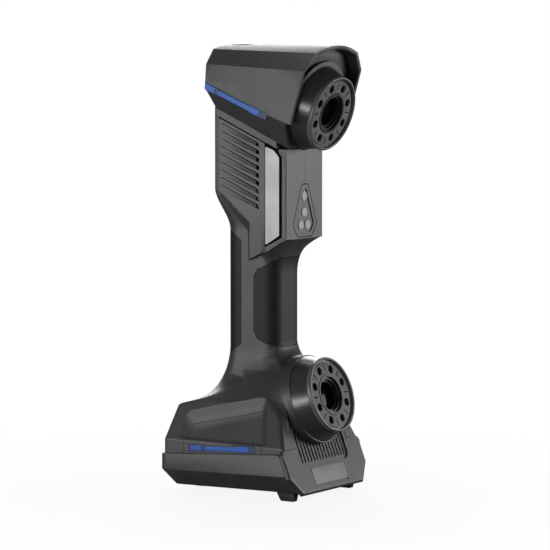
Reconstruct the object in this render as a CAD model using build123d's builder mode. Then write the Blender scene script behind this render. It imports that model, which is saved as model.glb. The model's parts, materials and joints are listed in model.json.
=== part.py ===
from build123d import *

import os
from math import atan, cos, radians, sin, sqrt

# Hand-held blue-laser scanner with two cameras: a hooded head, an upper body with vents,
# a slim handle with rubber grips, and a wide base that it stands on.
# Millimetres, +Z up. The feet stand on Z = 0, the cameras look along -Y, and the
# scanner is symmetric about X = 0. "Left" is +X and "right" is -X, as the operator
# who holds it from behind sees them.

# ---- Driving dimensions ---------------------------------------------------------------
OVERALL_HEIGHT = 298.0
WALL = 2.4                    # moulded shells
SEAT = 0.1                    # clearance round fixed turned pieces
RUNNING_GAP = 0.35            # clearance round each moving button

CAMERA_TILT = 16.5            # each camera leans towards the other by this many degrees
CAMERA_FRONT = -50.4          # Y of the middle of both bezels
UPPER_CAMERA_HEIGHT = 251.2
LOWER_CAMERA_HEIGHT = 67.5
BEZEL_RADIUS = 25.1
LED_PLATE_RADIUS = 21.8
LENS_TUBE_RADIUS = 13.5
BARREL_NOSE_RADIUS = 24.3
BARREL_BORE_RADIUS = 22.2
SPIGOT_RADIUS = 22.0
UPPER_BARREL_DEPTH = 13.6
UPPER_BARREL_BASE_RADIUS = 28.5
LOWER_BARREL_DEPTH = 13.8
LOWER_BARREL_BASE_RADIUS = 28.9
BOSS_RADIUS = 29.5

HANDLE_HALF = 17.5            # half of the handle's width in X
HANDLE_FRONT = -16.4
HANDLE_REAR = 24.9
HANDLE_CORNER = 12.0
NECK_TOP = 98.0               # the handle starts to flare into the base below this

BODY_HALF = 21.5              # upper body
BODY_FRONT = -28.2
BODY_REAR = 30.0
BODY_CORNER = 3.0
BODY_SHOULDER = 202.0         # its rear starts to taper into the handle below this

HEAD_HALF = 35.6
HEAD_REAR = 27.1
HEAD_NOSE = -60.0             # beyond the hood's rim, which is cut square to the camera
HEAD_CROWN = 297.0
RIM_SETBACK = 8.6             # from the bezel's front plane back to the hood's rim

BASE_HALF = 44.5
BASE_REAR = 55.3
BASE_BOTTOM = 5.0
BAND_TOP = 35.0               # the flanks lean inwards above this
FLANK_LEAN = 0.41
REAR_LEAN = 0.22
FRONT_LEAN = 0.385
FRONT_FOOT = -51.9            # Y of the front face at its lowest edge
FRONT_PANEL_DEPTH = 3.2
BASE_TOP_REAR = 58.5          # height of the base's top at its rear edge
BASE_TOP_SLOPE = 0.282
SKIRT_HALF = 47.4
SKIRT_REAR = 57.5

GRIP_DEPTH = 1.2
PANEL_DEPTH = 2.0

os.makedirs("parts", exist_ok=True)


# ---- Planes that several pieces share ---------------------------------------------------
def camera_plane(height, tilt):
    """Front plane of a bezel, its normal along the view."""
    view = Vector(0, -cos(radians(tilt)), sin(radians(tilt)))
    return Plane(origin=(0, CAMERA_FRONT, height), x_dir=(1, 0, 0), z_dir=view)


def sloped_plane(y, z, slope):
    """Plane through (0, y, z) that rises towards the rear by slope, normal upwards."""
    angle = atan(slope)
    return Plane(origin=(0, y, z), x_dir=(1, 0, 0), z_dir=(0, -sin(angle), cos(angle)))


UPPER_CAMERA = camera_plane(UPPER_CAMERA_HEIGHT, -CAMERA_TILT)
LOWER_CAMERA = camera_plane(LOWER_CAMERA_HEIGHT, CAMERA_TILT)

HEAD_SEAM_REAR = 268.3        # heights at the head's rear wall
HEAD_SEAM_SLOPE = 0.35
HEAD_FLOOR_REAR = 254.7
HEAD_FLOOR_SLOPE = 0.453
HEAD_SEAM = sloped_plane(HEAD_REAR, HEAD_SEAM_REAR, HEAD_SEAM_SLOPE)
HEAD_FLOOR = sloped_plane(HEAD_REAR, HEAD_FLOOR_REAR, HEAD_FLOOR_SLOPE)
BASE_TOP = sloped_plane(47.1, BASE_TOP_REAR, -BASE_TOP_SLOPE)

front_angle = atan(FRONT_LEAN)
FRONT_FACE = Plane(
    origin=(0, FRONT_FOOT, BASE_BOTTOM + 0.8),
    x_dir=(1, 0, 0),
    z_dir=(0, -cos(front_angle), sin(front_angle)),
)
FAR = 400.0                   # larger than the scanner, for half-space cuts


def save(part, name):
    """Labels one finished piece and writes its file."""
    part.label = name
    export_step(part, f"parts/{name}.step")


def across_y(y):
    """Plane across the scanner at this Y, with +X right and +Z up."""
    return Plane.XZ.offset(-y)


def side_plane(x):
    """Plane at this X whose local axes are Y and Z."""
    return Plane.YZ.offset(x)


# ---- Cameras ------------------------------------------------------------------------------
def turned(camera, outline):
    """Ring or tube round a camera's axis, from (radius, depth behind the bezel) points."""
    section = Plane(origin=camera.origin, x_dir=camera.x_dir, z_dir=camera.x_dir.cross(camera.z_dir))
    with BuildPart() as ring:
        with BuildSketch(section):
            with BuildLine():
                Polyline(*[(radius, -depth) for radius, depth in outline], close=True)
            make_face()
        revolve(axis=Axis(camera.origin, camera.z_dir))
    return ring.part


LED_COUNT = 8
LED_CIRCLE_RADIUS = 17.8
LED_HEX_RADIUS = 3.0
LED_PLATE_FRONT = 1.6
LED_PLATE_BACK = 3.2
LED_BOARD_FRONT = 4.8
LED_BOARD_BACK = 6.4


def bezel_ring(camera):
    lip = BEZEL_RADIUS - 0.5
    bore = LED_PLATE_RADIUS + 1.5
    seat = LED_PLATE_RADIUS + SEAT
    return turned(camera, [(lip, 0), (BEZEL_RADIUS, 0.5), (BEZEL_RADIUS, LED_PLATE_BACK),
                           (seat, LED_PLATE_BACK), (seat, 2.2), (bore, 2.2), (bore, 0.3),
                           (bore + 0.3, 0)])


def led_plate(camera):
    """Ring with a hexagonal window for each LED and a slit between each pair."""
    with BuildPart() as plate:
        with BuildSketch(camera.offset(-LED_PLATE_BACK)):
            Circle(LED_PLATE_RADIUS)
            Circle(LENS_TUBE_RADIUS + 2 * SEAT, mode=Mode.SUBTRACT)
            with PolarLocations(LED_CIRCLE_RADIUS, LED_COUNT, start_angle=22.5):
                RegularPolygon(LED_HEX_RADIUS, 6, mode=Mode.SUBTRACT)
            with PolarLocations(LED_CIRCLE_RADIUS + 0.6, LED_COUNT):
                Rectangle(4.6, 0.8, mode=Mode.SUBTRACT)
        extrude(amount=LED_PLATE_BACK - LED_PLATE_FRONT)
    return plate.part


def led_board(camera):
    """Ring board with one LED package under each hexagonal window."""
    with BuildPart() as board:
        with BuildSketch(camera.offset(-LED_BOARD_BACK)):
            Circle(LED_PLATE_RADIUS)
            Circle(LENS_TUBE_RADIUS + 1.0, mode=Mode.SUBTRACT)
        extrude(amount=LED_BOARD_BACK - LED_BOARD_FRONT)
        with BuildSketch(camera.offset(-LED_BOARD_FRONT)):
            with PolarLocations(LED_CIRCLE_RADIUS, LED_COUNT, start_angle=22.5):
                Rectangle(3.0, 3.0)
        extrude(amount=1.0)
    return board.part


def lens_tube(camera):
    """Stepped tube that holds the lens and reaches back to the sensor board."""
    return turned(camera, [(LENS_TUBE_RADIUS, 1.2), (LENS_TUBE_RADIUS, 9.0), (11.9, 9.0),
                           (11.9, 22.4), (9.4, 22.4), (9.4, 12.2), (8.0, 12.2), (8.0, 11.0),
                           (9.4, 11.0), (9.4, 5.0), (10.6, 5.0), (10.6, 3.0), (12.1, 3.0),
                           (12.1, 1.2)])


def lens_glass(camera):
    """Biconvex front element, clear of the tube by the seat clearance."""
    section = Plane(origin=camera.origin, x_dir=camera.x_dir, z_dir=camera.x_dir.cross(camera.z_dir))
    edge = 9.4 - SEAT
    with BuildPart() as glass:
        with BuildSketch(section):
            with BuildLine():
                ThreePointArc((0, -6.6), (edge / 2, -6.95), (edge, -8.0))
                Line((edge, -8.0), (edge, -10.8))
                Line((edge, -10.8), (0, -10.8))
                Line((0, -10.8), (0, -6.6))
            make_face()
        revolve(axis=Axis(camera.origin, camera.z_dir))
    return glass.part


def sensor_board(camera):
    """Square board behind the lens tube, with the image sensor standing in the tube."""
    with BuildPart() as board:
        with BuildSketch(camera.offset(-24.1)):
            RectangleRounded(30, 30, 2)
            with GridLocations(24, 24, 2, 2):
                Circle(1.4, mode=Mode.SUBTRACT)
        extrude(amount=1.6)
        with BuildSketch(camera.offset(-22.5)):
            Rectangle(11, 11)
        extrude(amount=2.0)
    return board.part


def barrel(camera, depth, base_radius):
    """Conical housing tube with a rear wall that carries the lens tube."""
    hole = 11.9 + SEAT
    flange = depth - 3.0
    spigot_end = min(depth + 5.0, 22.3)
    return turned(camera, [(BARREL_NOSE_RADIUS, LED_PLATE_BACK), (base_radius, depth),
                           (SPIGOT_RADIUS, depth), (SPIGOT_RADIUS, spigot_end),
                           (hole, spigot_end), (hole, flange), (BARREL_BORE_RADIUS, flange),
                           (BARREL_BORE_RADIUS, LED_PLATE_BACK)])


for side, camera in (("upper", UPPER_CAMERA), ("lower", LOWER_CAMERA)):
    save(bezel_ring(camera), f"{side}_bezel_ring")
    save(led_plate(camera), f"{side}_led_plate")
    save(led_board(camera), f"{side}_led_board")
    save(lens_tube(camera), f"{side}_lens_tube")
    save(lens_glass(camera), f"{side}_lens_glass")
    save(sensor_board(camera), f"{side}_sensor_board")
save(barrel(UPPER_CAMERA, UPPER_BARREL_DEPTH, UPPER_BARREL_BASE_RADIUS), "upper_barrel")
save(barrel(LOWER_CAMERA, LOWER_BARREL_DEPTH, LOWER_BARREL_BASE_RADIUS), "lower_barrel")


# ---- Head ---------------------------------------------------------------------------------
def head_section(y, inset):
    """Seven-sided section with an arched top, across the head at this Y."""
    back = HEAD_REAR - y
    crown = HEAD_CROWN - 0.013 * back
    shoulder = 293.5 - 0.031 * back
    cheek = 283.7 - 0.053 * back
    cheek_half = 34.0 + 0.0188 * back
    seam = HEAD_SEAM_REAR - HEAD_SEAM_SLOPE * back
    floor = HEAD_FLOOR_REAR - HEAD_FLOOR_SLOPE * back
    with BuildSketch(across_y(y)) as section:
        with BuildLine():
            ThreePointArc((-25.6, shoulder), (0, crown), (25.6, shoulder))
            Polyline((25.6, shoulder), (cheek_half, cheek), (HEAD_HALF, seam), (22.5, floor),
                     (-22.5, floor), (-HEAD_HALF, seam), (-cheek_half, cheek), (-25.6, shoulder))
        make_face()
        if inset:
            offset(amount=-inset, kind=Kind.INTERSECTION)
    return section.sketch


def head_hull(inset, rear):
    """Hull of the head, shrunk by inset, from its rear wall to the camera's front plane."""
    with BuildPart() as hull:
        loft(sections=[head_section(y, inset) for y in (rear, HEAD_NOSE)], ruled=True)
    return hull.part


HEAD_OUTER = head_hull(0, HEAD_REAR)
HEAD_SKIN = head_hull(1.2, HEAD_REAR + 1)
HEAD_INNER = head_hull(WALL, HEAD_REAR - WALL)
HOOD_RIM = UPPER_CAMERA.offset(-RIM_SETBACK)
TRAY_FRONT = UPPER_CAMERA.offset(-UPPER_BARREL_DEPTH)
TOP_CAP_Y = 18.0
TOP_CAP_RADIUS = 10.8
HEAD_OPENING = (32.0, 44.0)   # through the head's floor into the body
COLLAR_RADIUS = 31.6          # round the upper barrel
STRIP_START = -1.0            # along the strip, from the head's rear
STRIP_LENGTH = 52.0
STRIP_HEIGHT = 4.8
STRIP_END_BLOCK = 11.0
STRIP_REAR = 266.85           # height of its lower edge at the head's rear
STRIP_SLOPE = 0.41

strip_angle = atan(STRIP_SLOPE)
STRIP_PLANE = Plane(
    origin=(0, HEAD_REAR, STRIP_REAR),
    x_dir=(0, -cos(strip_angle), -sin(strip_angle)),
    z_dir=(-1, 0, 0),
)


def strip_blank(grow, reach):
    """The two light strips before they are parted: a bar, less the inside of the head."""
    with BuildPart() as bar:
        with BuildSketch(STRIP_PLANE):
            with Locations((STRIP_START + STRIP_LENGTH / 2, STRIP_HEIGHT / 2)):
                RectangleRounded(STRIP_LENGTH + grow, STRIP_HEIGHT + grow, 0.9)
        extrude(amount=reach, both=True)
        add(HEAD_SKIN, mode=Mode.SUBTRACT)
    return bar.part


def head_shroud():
    """Hood: top, sides and rear wall, open at the front and underneath."""
    with BuildPart() as shroud:
        add(HEAD_OUTER)
        add(HEAD_INNER, mode=Mode.SUBTRACT)
        split(bisect_by=HOOD_RIM, keep=Keep.BOTTOM)
        split(bisect_by=HEAD_SEAM, keep=Keep.TOP)
        add(strip_blank(2 * SEAT, HEAD_HALF + 5), mode=Mode.SUBTRACT)
        with BuildSketch(Plane.XY.offset(OVERALL_HEIGHT - 1.8)):
            with Locations((0, TOP_CAP_Y)):
                Circle(TOP_CAP_RADIUS + 0.2)
        extrude(amount=5, mode=Mode.SUBTRACT)
        with BuildSketch(Plane.XY.offset(OVERALL_HEIGHT - 8)):
            with Locations((0, TOP_CAP_Y)):
                Circle(9.0)
        extrude(amount=10, mode=Mode.SUBTRACT)
    return shroud.part


def head_tray():
    """Lower head shell: two sloping under-faces and a floor that sits on the body."""
    with BuildPart() as tray:
        add(HEAD_OUTER)
        add(HEAD_INNER, mode=Mode.SUBTRACT)
        split(bisect_by=HEAD_SEAM, keep=Keep.BOTTOM)
        split(bisect_by=TRAY_FRONT, keep=Keep.BOTTOM)
        add(strip_blank(2 * SEAT, HEAD_HALF + 5), mode=Mode.SUBTRACT)
        with BuildSketch(Plane.XY.offset(200)):
            with Locations((0, 2.0)):
                Rectangle(*HEAD_OPENING)
        extrude(amount=60, mode=Mode.SUBTRACT)
    return tray.part


def head_bulkhead():
    """Wall behind the hood's mouth, with a raised collar round the upper barrel."""
    depth = UPPER_BARREL_DEPTH
    with BuildPart() as wall:
        with BuildSketch(UPPER_CAMERA.offset(-depth - 5.0)):
            Rectangle(FAR, FAR)
        extrude(amount=2.4)
        with BuildSketch(UPPER_CAMERA.offset(-depth - 2.6)):
            Circle(COLLAR_RADIUS)
        extrude(amount=2.6)
        add(head_hull(WALL + SEAT, HEAD_REAR - WALL), mode=Mode.INTERSECT)
        with BuildSketch(UPPER_CAMERA.offset(-depth - 8)):
            Circle(SPIGOT_RADIUS + SEAT)
        extrude(amount=12, mode=Mode.SUBTRACT)
    return wall.part


def head_strip(side):
    """Blue light strip: two deep end blocks joined by a lower middle bar."""
    with BuildPart() as strip:
        add(strip_blank(0, HEAD_HALF))
        split(bisect_by=across_y(HEAD_REAR), keep=Keep.TOP)
        with BuildSketch(STRIP_PLANE):
            with Locations((STRIP_START + STRIP_LENGTH / 2 - 1, 0)):
                Rectangle(STRIP_LENGTH - 2 * STRIP_END_BLOCK, 2.4)
        extrude(amount=HEAD_HALF + 5, both=True, mode=Mode.SUBTRACT)
        split(bisect_by=Plane.YZ, keep=Keep.TOP if side > 0 else Keep.BOTTOM)
    return strip.part


def top_cap():
    """Low round cap on the head, on a stem that fills the hole under it."""
    with BuildPart() as cap:
        with BuildSketch(Plane.XY.offset(OVERALL_HEIGHT - 1.8)):
            with Locations((0, TOP_CAP_Y)):
                Circle(TOP_CAP_RADIUS)
        extrude(amount=1.8)
        chamfer(cap.edges().group_by(Axis.Z)[-1], 0.6)
        with BuildSketch(Plane.XY.offset(OVERALL_HEIGHT - 7)):
            with Locations((0, TOP_CAP_Y)):
                Circle(9.0 - SEAT)
        extrude(amount=5.2)
    return cap.part


save(head_shroud(), "head_shroud")
save(head_tray(), "head_tray")
save(head_bulkhead(), "head_bulkhead")
save(head_strip(1), "head_light_strip_left")
save(head_strip(-1), "head_light_strip_right")
save(top_cap(), "top_cap")


# ---- Housing: upper body, handle, neck and the upper part of the base ------------------------
def swell(height, start, end):
    """Quarter-round flare: 0 at start, growing to 1 with a vertical tangent at end."""
    t = min(max((height - start) / (end - start), 0.0), 1.0)
    return 1.0 - sqrt(1.0 - t * t)


def ease(height, start, end):
    """Smooth step from 0 at start to 1 at end."""
    t = min(max((height - start) / (end - start), 0.0), 1.0)
    return t * t * (3.0 - 2.0 * t)


FLARE_BOTTOM = 58.0           # the neck's flare into the base is full at this height
FLARE_SIDE = 15.0
FLARE_REAR = 26.0
CHIN_BOTTOM = 146.0           # the handle's front swells out to the body's between these heights
CHIN_TOP = 172.0
CORE_STATIONS = (50, 56, 61, 65, 69, 74, 80, 88, 98, 150, 154, 158, 162, 166, 170, 176, 184, 192,
                 204, 256)


def core_section(height, inset):
    """Rounded section of handle and neck: flared into the base, swelling into the body."""
    taper = ease(height, 174, BODY_SHOULDER)
    chin = swell(height, CHIN_BOTTOM, CHIN_TOP)
    flare = swell(height, NECK_TOP, FLARE_BOTTOM)
    half = HANDLE_HALF + FLARE_SIDE * flare + (BODY_HALF - HANDLE_HALF) * taper
    front = HANDLE_FRONT + (BODY_FRONT - HANDLE_FRONT) * min(1.0, 1.25 * chin)
    rear = HANDLE_REAR + FLARE_REAR * flare + (BODY_REAR - HANDLE_REAR) * taper
    corner = HANDLE_CORNER - (HANDLE_CORNER - BODY_CORNER) * taper
    with BuildSketch(Plane.XY.offset(height)) as section:
        with Locations((0, (front + rear) / 2)):
            RectangleRounded(2 * (half - inset), rear - front - 2 * inset, corner - inset / 2)
    return section.sketch


def core_hull(inset):
    """Handle and neck as one hull, shrunk by inset."""
    with BuildPart() as hull:
        loft(sections=[core_section(z, inset) for z in CORE_STATIONS], ruled=True)
    return hull.part


def body_hull(inset):
    """Box of the upper body with its stepped lower outline, cut off under the head."""
    with BuildPart() as hull:
        with BuildSketch(Plane.XY.offset(150)):
            with Locations((0, (BODY_FRONT + BODY_REAR) / 2)):
                box = Rectangle(2 * (BODY_HALF - inset), BODY_REAR - BODY_FRONT - 2 * inset)
            fillet(box.vertices().group_by(Axis.Y)[-1], BODY_CORNER)
            fillet(box.vertices().group_by(Axis.Y)[0], 1.5)
        extrude(amount=120)
        with BuildSketch(Plane.YZ):
            with BuildLine():
                Polyline((-60, 169.3), (BODY_FRONT + 0.7, 169.3), (1.3, 155.6), (1.3, 178.7),
                         (BODY_REAR, BODY_SHOULDER), (60, BODY_SHOULDER), (60, 300),
                         (-60, 300), close=True)
            make_face()
            if inset:
                offset(amount=-inset, kind=Kind.INTERSECTION)
        extrude(amount=60, both=True, mode=Mode.INTERSECT)
    return hull.part


def front_y(height):
    """Y of the base's front face at this height."""
    return FRONT_FOOT + FRONT_LEAN * (height - BASE_BOTTOM - 0.8)


def base_section(height, inset):
    """Rectangle of the base's upper part: flanks, rear and front all lean inwards."""
    above = max(0.0, height - BAND_TOP)
    half = BASE_HALF - FLANK_LEAN * above
    rear = BASE_REAR - REAR_LEAN * above
    front = front_y(height) + FRONT_PANEL_DEPTH + SEAT
    with BuildSketch(Plane.XY.offset(height)) as section:
        with Locations((0, (front + rear) / 2)):
            RectangleRounded(2 * (half - inset), rear - front - 2 * inset, 2.0)
    return section.sketch


def base_hull(inset):
    """Upper part of the base under its sloping top."""
    levels = (22.0, BAND_TOP, 90.0)
    with BuildPart() as hull:
        loft(sections=[base_section(z, inset) for z in levels], ruled=True)
        split(bisect_by=BASE_TOP.offset(-inset), keep=Keep.BOTTOM)
    return hull.part


def boss():
    """Round boss that carries the lower barrel."""
    with BuildPart() as round_boss:
        with BuildSketch(LOWER_CAMERA.offset(-LOWER_BARREL_DEPTH)):
            Circle(BOSS_RADIUS)
        extrude(amount=-32)
        split(bisect_by=Plane.XY.offset(40), keep=Keep.TOP)
    return round_boss.part


# Side panels, in (Y, Z) as seen from the side
PANEL_OUTLINE = ((26.0, 249.2), (-22.6, 227.2), (-26.4, 221.5), (-26.4, 171.4),
                 (1.3, 157.6), (1.3, 180.2), (26.0, 200.4))
VENT_COUNT = 9
VENT_PITCH = 5.11
VENT_REAR = 24.5
VENT_FRONT = -6.3
VENT_SLOPE = 0.42
VENT_TOP = 232.4              # height of the top vent at its front end
VENT_HEIGHT = 2.4
PLATE_OUTLINE = ((-11.0, 230.0), (-17.0, 227.5), (-21.8, 222.0), (-21.8, 171.9),
                 (-11.0, 165.3))


def side_prism(outline, inner, outer):
    """Both side pieces with this (Y, Z) outline, between two distances from the middle."""
    with BuildPart() as pair:
        with BuildSketch(Plane.YZ.offset(inner)):
            with BuildLine():
                Polyline(*outline, close=True)
            make_face()
        extrude(amount=outer - inner)
        mirror(about=Plane.YZ)
    return pair.part


def grip_zone(front):
    """Region of the front or the rear grip, to be cut out of the handle's skin."""
    if front:
        outline = ((-40, 156.7), (-16, 156.3), (-7.5, 151), (-2, 148.8), (0.6, 144.5), (0.6, 107),
                   (-2, 102.8), (-7.5, 100.4), (-16, 97.6), (-40, 97.4))
    else:
        outline = ((50, 177.7), (26, 177.7), (10.8, 167.5), (10.8, 98.7), (26, 89.1), (50, 89.1))
    with BuildPart() as zone:
        with BuildSketch(Plane.YZ):
            with BuildLine():
                Polyline(*outline, close=True)
            make_face()
        extrude(amount=40, both=True)
    return zone.part


KEYPAD_Z = 225.5
KEYPAD_HALF = 11.0
KEYPAD_RISE = 23.5            # half of the keypad's height
KITE_TOP = 205.2
KITE_MIDDLE = 178.1
KITE_BOTTOM = 170.2
LASER_SPOTS = ((0, 197.2), (0, 186.5), (-4.0, 178.2), (4.0, 178.2))
LASER_RADIUS = 3.0


def kite(grow):
    """Kite outline of the laser panel on the body's front face, in the open builder."""
    with BuildSketch(across_y(BODY_FRONT)) as outline:
        with BuildLine():
            Polyline((-4.1, KITE_TOP), (4.1, KITE_TOP), (14.6, KITE_MIDDLE), (8.8, KITE_BOTTOM),
                     (-8.8, KITE_BOTTOM), (-14.6, KITE_MIDDLE), close=True)
        make_face()
        fillet(outline.vertices(), 2.4)
        if grow:
            offset(amount=grow)
    return outline.sketch


SOCKET_Z = 44.0
SOCKET_RADIUS = 8.0


def grip_blank(front, deepest):
    """Grip pad in the handle's skin, from the surface down to this depth."""
    with BuildPart() as pad:
        add(core_hull(0))
        add(core_hull(deepest), mode=Mode.SUBTRACT)
        add(grip_zone(front), mode=Mode.INTERSECT)
    return pad.part


def body_under_head(inset):
    """Upper body's hull, cut off where the head's floor rests on it."""
    with BuildPart() as body:
        add(body_hull(inset))
        split(bisect_by=HEAD_FLOOR, keep=Keep.BOTTOM)
    return body.part


def housing_hull():
    """Outside of the housing: handle, neck, upper body, base and barrel boss in one."""
    with BuildPart() as hull:
        add(core_hull(0))
        split(bisect_by=Plane.XY.offset(52), keep=Keep.TOP)
        split(bisect_by=HEAD_FLOOR, keep=Keep.BOTTOM)
        add(body_under_head(0))
        add(base_hull(0))
        add(boss())
    return hull.part


def boss_bore():
    """Room inside the boss: a seat for the barrel's spigot, then a wider chamber."""
    with BuildPart() as room:
        with BuildSketch(LOWER_CAMERA.offset(-LOWER_BARREL_DEPTH)):
            Circle(SPIGOT_RADIUS + SEAT)
        extrude(amount=-8)
        with BuildSketch(LOWER_CAMERA.offset(-LOWER_BARREL_DEPTH - 3.0)):
            Circle(BOSS_RADIUS - 3.0)
        extrude(amount=-20)
    return room.part


# ---- Openings and seats that the housing has -------------------------------------------------
SCREW_POSTS = ((15.5, 108.0), (15.5, 160.0), (23.0, 201.0))
POST_RADIUS = 3.3
SCREW_RADIUS = 1.45
SCREW_HEAD_RADIUS = 2.7
SCREW_HEAD_X = 11.0

flank_angle = atan(FLANK_LEAN)
FLANK = Plane(
    origin=(BASE_HALF, 0, BAND_TOP),
    x_dir=(0, 1, 0),
    z_dir=(cos(flank_angle), 0, sin(flank_angle)),
)
# Recess in each flank, as (Y, distance up the flank): its rim and its floor
RECESS_RIM = ((41.0, 19.8), (-19.5, 35.6), (-27.0, 1.0), (43.5, 1.0))
RECESS_FLOOR = ((34.5, 12.4), (-17.8, 25.0), (-21.0, 1.8), (37.5, 1.8))
RECESS_DEPTH = 3.4
BASE_STRIP_LENGTH = 53.0
BASE_STRIP_HEIGHT = 4.2
BASE_STRIP_Y = 7.2
BASE_STRIP_Z = 31.8
BASE_STRIP_PLANE = Plane(
    origin=(0, BASE_STRIP_Y, BASE_STRIP_Z), x_dir=(0, 1, -0.048), z_dir=(1, 0, 0)
)


def across(outline, half):
    """Prism right across the scanner with this (Y, Z) outline."""
    with BuildPart() as prism:
        with BuildSketch(Plane.YZ):
            with BuildLine():
                Polyline(*outline, close=True)
            make_face()
        extrude(amount=half, both=True)
    return prism.part


def posts(radius, start, end):
    """Round posts along X at every housing screw."""
    with BuildPart() as group:
        with BuildSketch(Plane.YZ.offset(start)):
            with Locations(*SCREW_POSTS):
                Circle(radius)
        extrude(amount=end - start)
    return group.part


def recess_blank(grow, depth):
    """Prism through the left flank with the outline of the recess rim."""
    with BuildPart() as blank:
        with BuildSketch(FLANK.offset(2)):
            with BuildLine():
                Polyline(*RECESS_RIM, close=True)
            make_face()
            offset(amount=grow)
        extrude(amount=-depth - 2)
    return blank.part


def base_strip_blank(grow):
    """Bar right across the base where its two light strips sit."""
    with BuildPart() as bar:
        with BuildSketch(BASE_STRIP_PLANE):
            RectangleRounded(BASE_STRIP_LENGTH + grow, BASE_STRIP_HEIGHT + grow, 0.9)
        extrude(amount=BASE_HALF + 2, both=True)
        with BuildSketch(Plane.YZ):
            with Locations((BASE_STRIP_Y, BASE_STRIP_Z)):
                Rectangle(80, 20)
        extrude(amount=BASE_HALF - 1.2, both=True, mode=Mode.SUBTRACT)
    return bar.part


KEYPAD_OPENING = (19.0, 44.0)
GRILLE_WINDOW = (52.0, 18.0)  # in the housing's front wall, behind the grille
GRILLE_WINDOW_Z = 35.0


def housing():
    """Whole housing before it is split: hull, hollowed, with posts, seats and openings."""
    with BuildPart() as whole:
        add(housing_hull())
        for inner in (core_hull(3.2), body_under_head(3.6), base_hull(WALL)):
            add(inner, mode=Mode.SUBTRACT)
        add(housing_posts())
        add(boss_bore(), mode=Mode.SUBTRACT)
        # Open into the head above and into the skirt below
        add(across(((-19, 200), (20, 200), (20, 270), (-19, 250)), 16.0), mode=Mode.SUBTRACT)
        with BuildSketch(Plane.XY.offset(20)):
            with Locations((0, 8)):
                Rectangle(2 * BASE_HALF - 2 * WALL, 2 * 42)
        extrude(amount=6, mode=Mode.SUBTRACT)
        # Clearance under the upper barrel
        add(across(((-60, 226), (-20, 226), (-20, 270), (-60, 270)), 40.0), mode=Mode.SUBTRACT)
        # Grips
        add(grip_blank(True, GRIP_DEPTH), mode=Mode.SUBTRACT)
        add(grip_blank(False, GRIP_DEPTH), mode=Mode.SUBTRACT)
        # Side panels and the air windows behind them
        add(side_prism(PANEL_OUTLINE, BODY_HALF - PANEL_DEPTH, BODY_HALF + 1), mode=Mode.SUBTRACT)
        add(across(((-6, 205), (20, 205), (20, 238), (-6, 231)), 40.0), mode=Mode.SUBTRACT)
        # Laser panel
        with BuildSketch(across_y(BODY_FRONT)):
            add(kite(0))
        extrude(amount=-PANEL_DEPTH, mode=Mode.SUBTRACT)
        with BuildSketch(across_y(BODY_FRONT)):
            add(kite(-1.8))
        extrude(amount=-6, mode=Mode.SUBTRACT)
        # Keypad
        with BuildSketch(across_y(BODY_REAR)):
            with Locations((0, KEYPAD_Z)):
                Rectangle(*KEYPAD_OPENING)
        extrude(amount=6, both=True, mode=Mode.SUBTRACT)
        # Base: flank recesses, light strips, front grille window, cable socket
        add(recess_blank(0, 12), mode=Mode.SUBTRACT)
        add(mirrored(recess_blank(0, 12)), mode=Mode.SUBTRACT)
        add(base_strip_blank(2 * SEAT), mode=Mode.SUBTRACT)
        with BuildSketch(across_y(-20)):
            with Locations((0, GRILLE_WINDOW_Z)):
                Rectangle(*GRILLE_WINDOW)
        extrude(amount=30, mode=Mode.SUBTRACT)
        with BuildSketch(across_y(40)):
            with Locations((0, SOCKET_Z)):
                Circle(SOCKET_RADIUS + SEAT)
        extrude(amount=-30, mode=Mode.SUBTRACT)
        # Screws
        add(posts(SCREW_RADIUS + SEAT, -9.0, 60.0), mode=Mode.SUBTRACT)
        add(posts(SCREW_HEAD_RADIUS + SEAT, SCREW_HEAD_X, 60.0), mode=Mode.SUBTRACT)
    return whole.part


def housing_posts():
    """Screw posts, trimmed to the inside of the housing."""
    with BuildPart() as trimmed:
        add(posts(POST_RADIUS, -60.0, 60.0))
        add(housing_hull(), mode=Mode.INTERSECT)
    return trimmed.part


def mirrored(part):
    """The same piece on the other side of the scanner."""
    with BuildPart() as other:
        mirror(part, about=Plane.YZ)
    return other.part


def half_of(part, side):
    """Left (side 1) or right (side -1) half."""
    with BuildPart() as half:
        add(part)
        split(bisect_by=Plane.YZ, keep=Keep.TOP if side > 0 else Keep.BOTTOM)
    return half.part


HOUSING = housing()
save(half_of(HOUSING, 1), "housing_left")
save(half_of(HOUSING, -1), "housing_right")
save(grip_blank(True, GRIP_DEPTH - 0.05), "grip_front")
save(grip_blank(False, GRIP_DEPTH - 0.05), "grip_rear")


# ---- Side panels, name plates, laser panel -----------------------------------------------------
def vent_slots():
    """Slanted vent slots that fall towards the front, through one side panel."""
    run = VENT_REAR - VENT_FRONT
    with BuildPart() as slots:
        with BuildSketch(Plane.YZ.offset(BODY_HALF - 5)):
            for row in range(VENT_COUNT):
                low = VENT_TOP - row * VENT_PITCH
                reach = min(run, (low - 188.0) / VENT_SLOPE + 21.0)
                with BuildLine():
                    Polyline((VENT_FRONT, low), (VENT_FRONT, low - VENT_HEIGHT),
                             (VENT_FRONT + reach, low - VENT_HEIGHT + reach * VENT_SLOPE),
                             (VENT_FRONT + reach, low + reach * VENT_SLOPE), close=True)
                make_face()
        extrude(amount=8)
    return slots.part


def side_panel():
    """Left vent panel: slanted slots behind, a recess for the name plate in front."""
    with BuildPart() as panel:
        with BuildSketch(Plane.YZ.offset(BODY_HALF - PANEL_DEPTH)):
            with BuildLine():
                Polyline(*PANEL_OUTLINE, close=True)
            make_face()
            offset(amount=-SEAT)
        extrude(amount=PANEL_DEPTH)
        with BuildSketch(Plane.YZ.offset(BODY_HALF - 1.0)):
            with BuildLine():
                Polyline(*PLATE_OUTLINE, close=True)
            make_face()
            offset(amount=1.2)
        extrude(amount=2, mode=Mode.SUBTRACT)
        add(vent_slots(), mode=Mode.SUBTRACT)
    return panel.part


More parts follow.
